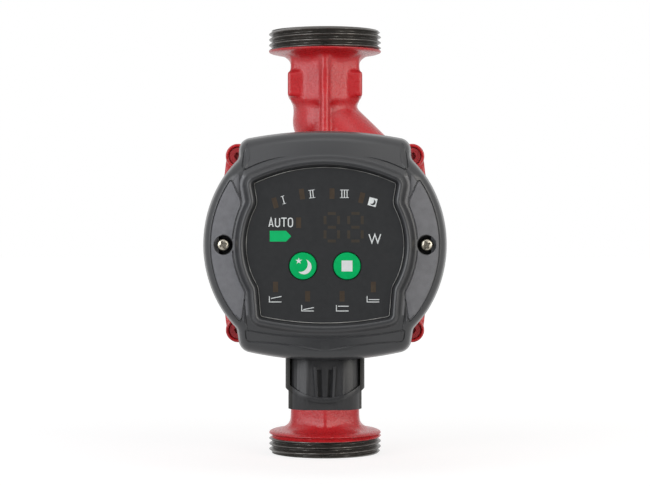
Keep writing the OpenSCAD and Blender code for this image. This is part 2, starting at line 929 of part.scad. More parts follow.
module control_base() {
    rim_grow = -cover_wall - loose_gap;
    color([0.12, 0.12, 0.13])
        difference() {
            on_motor_axis()
                difference() {
                    union() {
                        translate([0, 0, base_back])
                            linear_extrude(base_depth)
                                polygon(shield(box_shape));
                        translate([0, 0, base_back])
                            linear_extrude(base_depth + seal_t + 4)
                                polygon(shield(box_shape, rim_grow));
                    }
                    difference() {
                        translate([0, 0, base_back + base_t])
                            linear_extrude(base_depth + 20)
                                polygon(shield(box_shape, rim_grow - base_rim_t));
                        cover_screw_places()
                            bar(post_r, base_back, base_front + 30);
                        translate([0, -box_bottom, 0])
                            block(plug_full_w + 8, 2 * plug_entry, base_back, base_front + 3);
                    }
                    cover_screw_places()
                        bar(cover_screw_d / 2 + seat_gap, base_back + base_t, base_front + 30);
                    translate([0, pin_y, 0])
                        block(pin_slot_w - 1, pin_slot_h - 1, base_back - 1, base_front);
                    base_screw_places() {
                        bar(base_screw_d / 2 + hole_gap, base_back - 1, base_front);
                    }
                }
            plug_space(mouth_gap);
        }
    color([0.12, 0.12, 0.13])
        on_motor_axis()
            cover_screw_places()
                ring(post_r, cover_screw_d / 2 + seat_gap, base_front, post_front_d);
    color([0.12, 0.12, 0.13])
        on_motor_axis()
            at_board_posts()
                bar(board_post_r, base_back + base_t - 1, board_back_d - seat_gap);
}

module base_screws() {
    color([0.6, 0.61, 0.63])
        on_motor_axis()
            base_screw_places()
                union() {
                    bar(base_screw_d / 2, motor_front - motor_wall + 0.2, base_back + base_t + 1);
                    bar(base_screw_d, base_back + base_t, base_back + base_t + 1.8);
                }
}

module control_seal() {
    color([0.06, 0.06, 0.06])
        difference() {
            on_motor_axis()
                translate([0, 0, base_front])
                    linear_extrude(seal_t)
                        difference() {
                            polygon(shield(box_shape, -0.4));
                            polygon(shield(box_shape, -cover_wall));
                            cover_screw_places()
                                circle(r = post_r + seat_gap);
                        }
            plug_space(mouth_gap);
        }
}

// Fall of the front face at a height above the motor axis
function face_fall(y) =
    let (
        t = max(0, (y - film_top + 3) / (box_top - film_top + 3)),
        b = max(0, (-y - film_bottom + 3) / (box_bottom - film_bottom + 3))
    )
    top_fall * pow(t, 1.5) + bottom_fall * pow(b, 1.5);

// Ring of the cover's outer outline, moved outwards by grow, at a level that falls to top and bottom
function box_ring(grow, level) = [
    for (p = shield(box_shape, grow)) [p[0], p[1], level - face_fall(p[1])]
];

// Flat ring of the film's outline
function film_ring(grow, level) = at_level(shield(film_shape, grow), level);

// Ring of the rolled rim round the film, at a level that falls a little to top and bottom
function rim_ring(grow, level) = [
    for (p = shield(film_shape, grow)) [p[0], p[1], level - 0.35 * face_fall(p[1])]
];

module cover_shell() {
    inner = panel_back_d;
    loft(concat(
        [film_ring(-0.8, inner), film_ring(1.5, inner)],
        [box_ring(-cover_wall - 2, frame_d - cover_wall - 0.6)],
        [box_ring(-cover_wall, frame_d - cover_round - 1.5)],
        [at_level(shield(box_shape, -cover_wall), cover_back), at_level(shield(box_shape), cover_back)],
        [for (t = [0 : 18 : 90])
            box_ring(-cover_round * (1 - cos(t)), frame_d - cover_round * (1 - sin(t)))],
        [rim_ring(rim_w, frame_d)],
        [for (t = [0.2 : 0.2 : 1])
            rim_ring(rim_w - 0.55 * rim_w * t, frame_d + rim_h * (1 - cos(t * 180)) / 2)],
        [for (t = [30 : 30 : 90])
            rim_ring(0.45 * rim_w - (0.45 * rim_w - 0.8) * sin(t), frame_d + rim_h - 1.2 * (1 - cos(t)))],
        [film_ring(0.3, film_seat_d + 0.3), film_ring(0.15, film_seat_d)]
    ));
}

// Leaf outline of a side panel, moved inwards by inset
module side_leaf(inset) {
    far = 2 * box_r;
    side = film_r - 0.2 + inset;
    difference() {
        circle(r = box_r - 3.3 - inset);
        circle(r = film_r + rim_w + 0.3 + inset);
        polygon([
            [-far, -far], [side - 2.6, -far], [side + 2, 0.4 - film_bottom], [side, -17], [side, 14],
            [side + 1.6, 17], [side + 5.4, film_top - 4.5], [far, far], [-far, far]
        ]);
    }
}

module cover_windows() {
    for (place = window_places)
        translate([place[0], place[1], 0])
            rotate(place[2])
                block(window_w, window_h, panel_back_d - 1, frame_d);
    translate([digit_x, digit_y, 0])
        block(digit_w, digit_h, panel_back_d - 1, frame_d);
}

module at_key(side) {
    translate([side * key_x, -key_drop, 0])
        children();
}

module front_cover() {
    color([0.33, 0.34, 0.36])
        difference() {
            on_motor_axis()
                difference() {
                    union() {
                        cover_shell();
                        cover_screw_places()
                            bar(cover_recess_d / 2 + 1.6, post_front_d, frame_d - 1);
                    }
                    cover_screw_places() {
                        bar(cover_recess_d / 2, recess_floor_d, frame_d + 5);
                        bar(cover_screw_d / 2 + hole_gap, post_front_d - 1, frame_d);
                        bar(post_r + loose_gap, cover_back - 1, post_front_d);
                    }
                    cover_windows();
                    for (side = [-1, 1])
                        at_key(side)
                            bar(key_r + loose_gap, panel_back_d - 1, frame_d);
                    for (side = [0, 1])
                        mirror([side, 0, 0])
                            translate([0, 0, frame_d - 0.5])
                                linear_extrude(2)
                                    difference() {
                                        side_leaf(0);
                                        side_leaf(groove_w);
                                    }
                }
            plug_space(mouth_gap);
        }
}

module cover_screws() {
    slot = 0.9;
    color([0.78, 0.78, 0.76])
        on_motor_axis()
            cover_screw_places()
                difference() {
                    union() {
                        bar(cover_screw_d / 2, recess_floor_d - 13, recess_floor_d + 1);
                        bar(cover_screw_head_d / 2, recess_floor_d, recess_floor_d + cover_screw_head_h);
                    }
                    for (a = [0, 90])
                        rotate(a + 20)
                            block(slot, 3.2, recess_floor_d + 0.7, frame_d);
                }
}

module display_film() {
    color([0.2, 0.2, 0.21])
        on_motor_axis()
            difference() {
                translate([0, 0, film_seat_d])
                    linear_extrude(film_t)
                        polygon(shield(film_shape));
                for (side = [-1, 1])
                    at_key(side)
                        bar(key_r + loose_gap, film_seat_d - 1, frame_d);
            }
}

module control_board() {
    low = socket_top - axis_z + 1;
    color([0.1, 0.35, 0.2])
        on_motor_axis()
            translate([0, 0, board_back_d])
                linear_extrude(board_t)
                    intersection() {
                        circle(r = board_r);
                        translate([-board_r, low])
                            square([2 * board_r, box_top - 7 - low]);
                    }
}

module digit_display() {
    color([0.14, 0.12, 0.1])
        on_motor_axis()
            translate([digit_x, digit_y, 0])
                block(digit_w - 1, digit_h - 1, board_front_d, film_seat_d - loose_gap);
}

module indicator_leds() {
    color([0.9, 0.88, 0.8])
        on_motor_axis()
            for (place = window_places)
                translate([place[0], place[1], 0])
                    rotate(place[2])
                        block(window_w - 0.4, window_h - 0.6, board_front_d, board_front_d + 1.4);
}

module board_capacitor() {
    color([0.15, 0.2, 0.35])
        on_motor_axis()
            translate(capacitor_place)
                bar(capacitor_r, board_back_d - capacitor_len, board_back_d);
}

module board_choke() {
    color([0.55, 0.3, 0.15])
        on_motor_axis()
            translate(choke_place)
                ring(choke_r, choke_bore_r, board_back_d - choke_h, board_back_d);
}

module key_switches() {
    color([0.1, 0.1, 0.1])
        on_motor_axis()
            for (side = [-1, 1])
                at_key(side)
                    difference() {
                        block(switch_w, switch_w, board_front_d, board_front_d + switch_h);
                        bar(plunger_r + loose_gap, board_front_d + 0.6, board_front_d + switch_h + 1);
                    }
}

module key_cap(side) {
    color([0.02, 0.68, 0.36])
        on_motor_axis()
            at_key(side) {
                bar(key_r, key_flange_front - eps, key_front_d);
                bar(key_r + 1.2, key_flange_front - key_flange_t, key_flange_front);
            }
}

module key_plunger(side) {
    color([0.85, 0.83, 0.78])
        on_motor_axis()
            at_key(side)
                bar(plunger_r, board_front_d + 1.2 + key_travel, plunger_front_d);
}

module night_key() {
    key_cap(-1);
}

module stop_key() {
    key_cap(1);
}

module night_plunger() {
    key_plunger(-1);
}

module stop_plunger() {
    key_plunger(1);
}

// Power plug and its socket

// Repeats the children at the three plug contacts, on the plug's axis
module at_contacts() {
    for (i = [-1 : 1])
        translate([i * nose_pitch, -plug_d, 0])
            children();
}

module power_socket() {
    gap = loose_gap;
    wall = gap + socket_wall;
    color([0.1, 0.1, 0.11])
        difference() {
            union() {
                translate([0, -plug_d, 0])
                    block(nose_w + 2 * wall, nose_depth + 2 * wall, socket_bottom, socket_top);
                translate([-nose_w / 2, -plug_d, socket_bottom + 2])
                    cube([nose_w, plug_d - base_back - base_t - seat_gap, socket_top - socket_bottom - 2]);
            }
            translate([0, -plug_d, 0])
                block(nose_w + 2 * gap, nose_depth + 2 * gap, socket_bottom - 1, nose_top + gap);
            at_contacts()
                round_blade(seat_gap, socket_bottom, socket_top + 1);
        }
}

module socket_blades() {
    color([0.83, 0.68, 0.35])
        at_contacts()
            round_blade(0, plug_top + 2, socket_top + 3);
}

// A block round a contact blade, wider than the blade by gap on every side
module round_blade(gap, from, to) {
    block(blade_w + 2 * gap, blade_t + 2 * gap, from, to);
}

module plug_insert() {
    color([0.3, 0.3, 0.31])
        difference() {
            union() {
                translate([0, -plug_d, plug_top - insert_h])
                    linear_extrude(insert_h)
                        polygon(plug_outline(-plug_wall - seat_gap));
                translate([0, -plug_d, 0])
                    block(nose_w, nose_depth, plug_top - 1, nose_top);
            }
            at_contacts()
                round_blade(contact_gap + contact_wall + seat_gap, plug_top - contact_root, nose_top + 1);
        }
}

module plug_contacts() {
    color([0.83, 0.68, 0.35])
        at_contacts()
            difference() {
                round_blade(contact_gap + contact_wall, plug_top - contact_root, nose_top - 0.5);
                round_blade(contact_gap, plug_top - contact_root - 1, nose_top);
            }
}

// Raised frame on the plug, seen from the front: two side strips joined by a dipping ridge
module plug_frame() {
    half = plug_full_w / 2;
    shoulder = plug_bottom + 8.2;
    strip = 1.8;
    inner_r = 22;
    dip = 5;
    difference() {
        union() {
            translate([-half, shoulder])
                square([2 * half, plug_top - shoulder]);
            intersection() {
                translate([0, shoulder - dip + inner_r + 3.4])
                    circle(r = inner_r + 3.6);
                translate([-half, plug_bottom + 2])
                    square([2 * half, plug_h - 2]);
            }
        }
        translate([strip - half, shoulder + 3])
            square([2 * half - 2 * strip, plug_top - shoulder]);
        intersection() {
            translate([0, shoulder - dip + inner_r + 1.6])
                circle(r = inner_r);
            translate([strip - half, plug_bottom])
                square([2 * half - 2 * strip, plug_h]);
        }
    }
}

// A tapered strip beside the latch tongue on both sides, between two half widths
module latch_strips(inner, outer, top, bottom) {
    for (side = [0, 1])
        mirror([side, 0])
            polygon([[inner[0], top], [inner[1], bottom], [outer[1], bottom], [outer[0], top]]);
}

// Upright block with the plug's outline grown by a width, between two heights
module plug_prism(grow, from, to) {
    translate([0, -plug_d, from])
        linear_extrude(to - from)
            polygon(plug_outline(grow));
}

// The plug's outer form between two heights, with its frame and the latch tongue in front
module plug_form(from, to) {
    front_d = plug_d + plug_depth / 2;
    difference() {
        union() {
            plug_prism(0, from, to);
            intersection() {
                plug_prism(plug_rim, from, to);
                translate([0, -plug_d + plug_full_depth, 0])
                    rotate([90, 0, 0])
                        linear_extrude(2 * plug_full_depth)
                            plug_frame();
            }
            intersection() {
                plug_prism(latch_rib_h, from, to);
                translate([0, -plug_d, 0])
                    rotate([90, 0, 0])
                        linear_extrude(plug_full_depth)
                            latch_strips(slot_half, latch_rib_half, latch_top + 1, latch_bottom);
            }
        }
        translate([0, latch_depth - front_d, 0])
            rotate([90, 0, 0])
                linear_extrude(plug_depth)
                    latch_strips(tongue_half, slot_half, latch_top, latch_bottom);
    }
}

module plug_shell() {
    color([0.07, 0.07, 0.08])
        difference() {
            plug_form(chamber_floor, plug_top);
            plug_prism(-plug_wall, chamber_floor - 1, plug_top + 1);
        }
}

module plug_cap() {
    color([0.07, 0.07, 0.08])
        difference() {
            plug_form(plug_bottom, chamber_floor);
            translate([0, -plug_d, 0]) {
                bar(grommet_r + seat_gap, plug_bottom - 1, plug_bottom + grommet_h);
                bar(cable_d / 2 + 0.2, plug_bottom, chamber_floor + 1);
            }
        }
}

module cable_grommet() {
    color([0.05, 0.05, 0.05])
        translate([0, -plug_d, 0])
            ring(grommet_r, cable_d / 2, plug_bottom, plug_bottom + grommet_h);
}

pump_housing();
neck_ring();
impeller();
impeller_shroud();
bearing_plate();
front_bearing();
thrust_ring();
rotor_shaft();
rotor_magnet();
rotor_sleeve();
rear_bearing();
rotor_can();
housing_gasket();
stator_core();
stator_bobbins();
stator_coils();
motor_housing();
motor_screws();
phase_pins();
control_base();
base_screws();
control_seal();
front_cover();
cover_screws();
display_film();
control_board();
digit_display();
indicator_leds();
board_capacitor();
board_choke();
key_switches();
night_key();
stop_key();
night_plunger();
stop_plunger();
power_socket();
socket_blades();
plug_shell();
plug_cap();
plug_insert();
plug_contacts();
cable_grommet();
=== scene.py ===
"""Looks of the circulator pump: cast and moulded forms, threads, display print, light and camera."""

import json
import math
from collections import namedtuple

import bmesh
import bpy
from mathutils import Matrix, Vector
from mathutils.bvhtree import BVHTree


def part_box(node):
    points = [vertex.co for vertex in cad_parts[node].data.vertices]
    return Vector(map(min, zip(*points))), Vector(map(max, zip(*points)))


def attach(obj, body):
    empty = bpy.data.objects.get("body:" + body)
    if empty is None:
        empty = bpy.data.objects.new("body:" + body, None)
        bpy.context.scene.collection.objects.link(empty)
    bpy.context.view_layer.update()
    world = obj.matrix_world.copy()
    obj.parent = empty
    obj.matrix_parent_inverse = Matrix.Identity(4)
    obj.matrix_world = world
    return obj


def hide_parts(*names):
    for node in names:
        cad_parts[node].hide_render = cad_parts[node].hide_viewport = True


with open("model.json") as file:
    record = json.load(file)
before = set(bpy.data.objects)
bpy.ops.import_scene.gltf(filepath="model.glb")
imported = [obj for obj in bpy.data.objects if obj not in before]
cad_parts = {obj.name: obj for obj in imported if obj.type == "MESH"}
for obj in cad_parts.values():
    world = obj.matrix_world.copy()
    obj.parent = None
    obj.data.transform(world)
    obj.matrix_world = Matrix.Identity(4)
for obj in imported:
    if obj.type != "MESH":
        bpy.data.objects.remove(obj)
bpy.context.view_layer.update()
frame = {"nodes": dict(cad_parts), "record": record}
NODES = frame["nodes"]
MOUNTS = {mount["name"]: mount for mount in frame["record"]["mounts"]}
MM = 0.001

# Places and sizes in millimetres, mostly from the frame. Depth runs forwards from the port axis.
PORT_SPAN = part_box("pump_housing")[1].z / MM
AXIS_Z = PORT_SPAN / 2
COVER_BACK = -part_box("front_cover")[1].y / MM
FILM_BACK = -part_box("display_film")[1].y / MM
FILM_FRONT = -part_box("display_film")[0].y / MM
FACE = FILM_FRONT + 1.0
THREAD_R = MOUNTS["upper_port"]["dims"]["r_mm"]
THREAD_LEN = MOUNTS["upper_port"]["dims"]["length_mm"]
PAINTED_THREAD = 1.7
SCREW_HEAD_TOP = -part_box("cover_screws")[0].y / MM
SCREW_HEAD_R = 2.6
SCREW_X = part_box("cover_screws")[1].x / MM - SCREW_HEAD_R
KEY_FRONT = -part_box("night_key")[0].y / MM
KEY_R = 5.1
KEY_GAP = 0.3

# Outlines of the cover and of the film in millimetres about the motor axis
End = namedtuple("End", "shoulder lean corner_r edge edge_r")
Shield = namedtuple("Shield", "side_r notch_r top bottom")
COVER_SHAPE = Shield(46.65, 3.0, End(33.0, 0.0, 4.6, 43.5, 165.0), End(37.7, 7.5, 5.0, 44.3, 148.0))
FILM_SHAPE = Shield(29.8, 7.0, End(22.2, -10.5, 1.0, 29.3, 62.0), End(26.4, 4.6, 1.0, 29.5, 115.0))
COVER_WALL = 2.3
COVER_ROUND = 3.8
COVER_DRAFT = 0.7
COVER_DRAFT_H = 4.0
TOP_FALL = 4.2
BOTTOM_FALL = 2.6
END_BOW_R = 130.0
DOME_R = 250.0
RIM_W = 4.7
RIM_H = 1.7
RIDGE_FALL_SHARE = 0.35
RECESS_R = 3.6
RECESS_DEPTH = 6.0


# Geometry helpers

CORNER_SIGNS = ((1, 1), (-1, 1), (-1, -1), (1, -1))
WELD_GAP = 0.002


def place(x, y, depth):
    """World point of a place right of, above and in front of the crossing of the port and motor axes."""
    return Vector((x, -depth, AXIS_Z + y)) * MM


def new_object(name, bm):
    """Turns a bmesh into an object of the scene."""
    mesh = bpy.data.meshes.new(name)
    bm.to_mesh(mesh)
    bm.free()
    obj = bpy.data.objects.new(name, mesh)
    bpy.context.scene.collection.objects.link(obj)
    return obj


def face_outwards(bm):
    """Turns the faces of a closed solid outwards."""
    bmesh.ops.recalc_face_normals(bm, faces=bm.faces)
    if bm.calc_volume(signed=True) < 0:
        bmesh.ops.reverse_faces(bm, faces=bm.faces)


def bake_modifiers(obj):
    """Replaces an object's mesh by what its modifiers make of it."""
    graph = bpy.context.evaluated_depsgraph_get()
    mesh = bpy.data.meshes.new_from_object(obj.evaluated_get(graph))
    obj.modifiers.clear()
    obj.data = mesh


def arc(centre, radius, start, end, steps):
    """Points on an arc between two angles in degrees, with both ends."""
    turn = (end - start) / steps
    angles = [math.radians(start + i * turn) for i in range(steps + 1)]
    return [(centre[0] + radius * math.cos(a), centre[1] + radius * math.sin(a)) for a in angles]


def loft(name, rings, closed=False):
    """A solid through rings of world points, with flat ends or joined end to end."""
    bm = bmesh.new()
    rows = [[bm.verts.new(point) for point in ring] for ring in rings]
    count = len(rows[0])
    nexts = rows[1:] + rows[:1] if closed else rows[1:]
    for low, high in zip(rows, nexts):
        for i in range(count):
            j = (i + 1) % count
            bm.faces.new((low[i], low[j], high[j], high[i]))
    if not closed:
        bm.faces.new(rows[0])
        bm.faces.new(rows[-1])
    face_outwards(bm)
    return new_object(name, bm)


def lathe(name, profile, to_world):
    """A closed solid of revolution. The profile is a list of radius and height, from axis to axis."""
    steps = 64
    inner = profile[1:-1]
    bm = bmesh.new()
    first = bm.verts.new(to_world(0.0, 0.0, profile[0][1]))
    last = bm.verts.new(to_world(0.0, 0.0, profile[-1][1]))
    rows = []
    for radius, height in inner:
        circle = arc((0.0, 0.0), radius, 0, 360, steps)[:-1]
        rows.append([bm.verts.new(to_world(x, y, height)) for x, y in circle])
    for i in range(steps):
        j = (i + 1) % steps
        bm.faces.new((first, rows[0][i], rows[0][j]))
        for low, high in zip(rows, rows[1:]):
            bm.faces.new((low[i], low[j], high[j], high[i]))
        bm.faces.new((last, rows[-1][j], rows[-1][i]))
    face_outwards(bm)
    return new_object(name, bm)


def tube(name, path, radius, closed=True, sides=8):
    """A round bar along a path of world points."""
    rings = []
    last = len(path) - 1
    for i, point in enumerate(path):
        after = path[(i + 1) % len(path)] if closed else path[min(i + 1, last)]
        before = path[i - 1] if closed else path[max(i - 1, 0)]
        ahead = after - before
        across = ahead.cross(Vector((0, 1, 0))).normalized()
        up = across.cross(ahead).normalized()
        turns = [2 * math.pi * k / sides for k in range(sides)]
        rings.append([point + radius * (math.cos(t) * across + math.sin(t) * up) for t in turns])
    return loft(name, rings, closed)


def combine(obj, other, operation):
    """Changes an object by a Boolean operation with another, and removes the other."""
    change = obj.modifiers.new("combine", "BOOLEAN")
    change.operation = operation
    change.solver = "MANIFOLD"
    change.object = other
    bake_modifiers(obj)
    bpy.data.objects.remove(other)


def carve(obj, *cutters):
    """Cuts objects out of another and removes them."""
    for cutter in cutters:
        combine(obj, cutter, "DIFFERENCE")


def joined(name, *nodes):
    """One piece from the CAD forms of nodes that touch."""
    pieces = []
    for node in nodes:
        bm = bmesh.new()
        bm.from_mesh(NODES[node].data)
        bmesh.ops.remove_doubles(bm, verts=bm.verts, dist=WELD_GAP * MM)
        pieces.append(new_object(name, bm))
    whole = pieces[0]
    for piece in pieces[1:]:
        combine(whole, piece, "UNION")
    return whole


def soften(obj, width):
    """Rounds the edges of a piece that keeps the form of its CAD mesh."""
    weld = obj.modifiers.new("weld", "WELD")
    weld.merge_threshold = WELD_GAP * MM
    flat = obj.modifiers.new("flat", "DECIMATE")
    flat.decimate_type = "DISSOLVE"
    flat.angle_limit = math.radians(1.0)
    edge = obj.modifiers.new("edge", "BEVEL")
    edge.width = width * MM
    edge.segments = 2
    edge.limit_method = "ANGLE"
    edge.angle_limit = math.radians(40)
    edge.harden_normals = True


def dress(obj, body, material, sharp):
    """Gives a piece its material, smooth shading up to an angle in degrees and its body."""
    obj.data.materials.clear()
    obj.data.materials.append(material)
    obj.data.shade_smooth()
    obj.data.set_sharp_from_angle(angle=math.radians(sharp))
    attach(obj, body)
    return obj


# Material helpers

class Finish:
    """A material under construction, with short calls for the nodes that the finishes share."""

    def __init__(self, name, base, roughness, **sockets):
        self.material = bpy.data.materials.new(name)
        self.material.use_nodes = True
        self.tree = self.material.node_tree
        self.shader = self.tree.nodes["Principled BSDF"]
        self.shader.inputs["Base Color"].default_value = (*base, 1.0)
        self.shader.inputs["Roughness"].default_value = roughness
        for socket, value in sockets.items():
            self.shader.inputs[socket.replace("_", " ")].default_value = value
        self.place = self.tree.nodes.new("ShaderNodeTexCoord").outputs["Object"]
        self.relief = None

    def node(self, kind, links=(), **values):
        """A node with some inputs linked and some set."""
        node = self.tree.nodes.new(kind)
        for socket, value in values.items():
            node.inputs[socket.replace("_", " ")].default_value = value
        for socket, source in links:
            self.tree.links.new(source, node.inputs[socket])
        return node

    def noise(self, grain, detail=4.0):
        """Noise whose spots are about a grain of millimetres wide."""
        links = [("Vector", self.place)]
        return self.node("ShaderNodeTexNoise", links, Scale=1 / (grain * MM), Detail=detail).outputs["Fac"]

    def waves(self, pitch, axis):
        """Slightly uneven parallel bands with a pitch in millimetres along an axis."""
        pitch_at_scale_one = 0.314
        scale = pitch_at_scale_one / (pitch * MM)
        links = [("Vector", self.place)]
        bands = self.node("ShaderNodeTexWave", links, Scale=scale, Distortion=0.4)
        bands.bands_direction = axis
        return bands.outputs["Fac"]

    def spread(self, factor, low, high):
        """Maps the middle of a noise onto a range of values."""
        values = {"From_Min": 0.3, "From_Max": 0.7, "To_Min": low, "To_Max": high}
        return self.node("ShaderNodeMapRange", [("Value", factor)], **values).outputs["Result"]

    def tint(self, factor, low, high):
        """Colours the base between two colours."""
        ramp = self.node("ShaderNodeValToRGB", [("Fac", factor)])
        ramp.color_ramp.elements[0].position = 0.3
        ramp.color_ramp.elements[0].color = (*low, 1.0)
        ramp.color_ramp.elements[1].position = 0.7
        ramp.color_ramp.elements[1].color = (*high, 1.0)
        self.tree.links.new(ramp.outputs["Color"], self.shader.inputs["Base Color"])

    def gloss(self, factor, low, high):
        """Lets the roughness follow a factor."""
        self.tree.links.new(self.spread(factor, low, high), self.shader.inputs["Roughness"])

    def bump(self, height, depth):
        """Adds relief of a depth in millimetres."""
        links = [("Height", height)]
        if self.relief:
            links.append(("Normal", self.relief))
        relief = self.node("ShaderNodeBump", links, Strength=1.0, Distance=depth * MM)
        self.relief = relief.outputs["Normal"]
        self.tree.links.new(self.relief, self.shader.inputs["Normal"])


def shade(colour, factor):
    """A colour made darker or lighter."""
    return tuple(min(1.0, channel * factor) for channel in colour)


def speckled(name, base, roughness, grain, depth, contrast, **sockets):
    """A finish whose colour, gloss and relief follow a noise of one grain size in millimetres."""
    finish = Finish(name, base, roughness, **sockets)
    spots = finish.noise(grain)
    finish.tint(finish.noise(grain * 6), shade(base, 1 - contrast), shade(base, 1 + contrast))
    finish.gloss(spots, roughness * 0.88, roughness * 1.12)
    finish.bump(spots, depth)
    return finish.material


def banded(name, base, roughness, pitch, axis, depth, **sockets):
    """A finish with fine parallel ridges, as on a lamination stack, a winding or a drawn part."""
    finish = Finish(name, base, roughness, **sockets)
    bands = finish.waves(pitch, axis)
    finish.tint(bands, shade(base, 0.72), shade(base, 1.12))
    finish.gloss(finish.noise(pitch * 3), roughness * 0.85, roughness * 1.15)
    finish.bump(bands, depth)
    return finish.material


def painted(name, base, roughness, grain, depth):
    """Enamel over a cast surface: lumps of the casting under a smooth glossy coat."""
    finish = Finish(name, base, roughness, Specular_IOR_Level=0.4, Coat_Weight=0.1, Coat_Roughness=0.25)
    lumps = finish.noise(grain, 6.0)
    finish.tint(finish.noise(grain * 9), shade(base, 0.9), shade(base, 1.08))
    finish.gloss(lumps, roughness * 0.85, roughness * 1.2)
    finish.bump(lumps, depth)
    finish.bump(finish.noise(grain * 0.3), depth * 0.15)
    return finish.material


def cover_finish():
    """Grey moulded plastic with painted sheen: paler where the two flats beside the film's rim, between
    the end panels, face straight forwards.
    """
    sheen_facing_limits = (-0.984, -0.99)
    depth_limits = (0.9, 1.6)
    height_limits = (33, 28)
    finish = Finish("cover_plastic", GREY, 0.34, Specular_IOR_Level=0.5)
    surface = finish.node("ShaderNodeNewGeometry").outputs
    facing = finish.node("ShaderNodeSeparateXYZ", [("Vector", surface["True Normal"])]).outputs["Y"]
    spot = finish.node("ShaderNodeSeparateXYZ", [("Vector", surface["Position"])]).outputs
    limits = [
        (facing, sheen_facing_limits),
        (spot["Y"], [(depth - FACE) * MM for depth in depth_limits]),
        (spot["Z"], [(AXIS_Z - height) * MM for height in height_limits]),
        (spot["Z"], [(AXIS_Z + height) * MM for height in height_limits]),
    ]
    so_far = []
    for value, (outside, inside) in limits:
        links = [("Value", value)] + so_far
        flat = finish.node("ShaderNodeMapRange", links, From_Min=outside, From_Max=inside)
        so_far = [("To Max", flat.outputs["Result"])]
    # Painted sheen: the paler grey stands in for the lights' reflection on the forward-facing flats.
    finish.tint(flat.outputs["Result"], GREY, PAINTED_SHEEN_GREY)
    finish.gloss(finish.noise(0.3), 0.3, 0.38)
    finish.bump(finish.noise(0.3), 0.012)
    return finish.material


def board_finish():
    """Solder resist over copper tracks."""
    finish = Finish("board_resist", (0.02, 0.13, 0.06), 0.35, Coat_Weight=0.3, Coat_Roughness=0.2)
    links = [("Vector", finish.place)]
    tracks = finish.node("ShaderNodeTexVoronoi", links, Scale=350.0)
    tracks.distance = "MANHATTAN"
    edges = tracks.outputs["Distance"]
    finish.tint(edges, (0.014, 0.09, 0.04), (0.035, 0.19, 0.085))
    finish.bump(edges, 0.03)
    return finish.material


# Colours, and finishes with their roughness and the size, depth and contrast of their spots or bands
RED = (0.53, 0.022, 0.028)
GREY = (0.033, 0.034, 0.037)
# Painted sheen of the cover's forward-facing flats
PAINTED_SHEEN_GREY = (0.105, 0.106, 0.115)
PANEL_GREY = (0.155, 0.156, 0.168)
BLACK = (0.029, 0.029, 0.031)
FILM_BLACK = (0.029, 0.03, 0.032)
STEEL = (0.55, 0.56, 0.58)
BRASS = (0.75, 0.55, 0.24)

PAINT_CAST = painted("red_paint_cast", RED, 0.28, 1.2, 0.2)
PAINT_SMOOTH = painted("red_paint_smooth", RED, 0.28, 0.9, 0.06)
COVER_PLASTIC = cover_finish()
PANEL_PLASTIC = speckled("panel_plastic", PANEL_GREY, 0.55, 0.45, 0.05, 0.1, Specular_IOR_Level=0.3)
FILM_PLASTIC = speckled("film_plastic", FILM_BLACK, 0.55, 0.35, 0.006, 0.06, Specular_IOR_Level=0.12)
FILM_EDGE = speckled("film_edge", (0.28, 0.28, 0.27), 0.3, 1.4, 0.01, 0.7)
BLACK_PLASTIC = speckled("black_plastic", BLACK, 0.36, 0.25, 0.01, 0.08, Specular_IOR_Level=0.32)
THREAD_METAL = banded("thread_metal", (0.13, 0.123, 0.115), 0.3, 0.35, "Z", 0.02, Metallic=0.85)
PLUG_STRIP = speckled("plug_strip", (0.032, 0.031, 0.029), 0.5, 0.25, 0.01, 0.08, Specular_IOR_Level=0.08)
WHITE_INK = speckled("white_ink", (0.68, 0.71, 0.72), 0.5, 0.3, 0.004, 0.05)
GREEN_INK = speckled("green_ink", (0.004, 0.45, 0.14), 0.5, 0.4, 0.004, 0.05, Specular_IOR_Level=0.15)
GREEN_KEY = speckled("green_key", (0.0, 0.41, 0.115), 0.5, 0.4, 0.004, 0.05, Specular_IOR_Level=0.1)
SEGMENT_INK = speckled("segment_ink", (0.05, 0.042, 0.033), 0.5, 0.5, 0.004, 0.1, Specular_IOR_Level=0.12)
LED_WINDOW = speckled("led_window", (0.055, 0.041, 0.03), 0.5, 0.5, 0.004, 0.15, Specular_IOR_Level=0.12)
SCREW_PLATE = speckled("screw_plate", (0.4, 0.37, 0.31), 0.28, 0.3, 0.01, 0.1, Metallic=1.0)

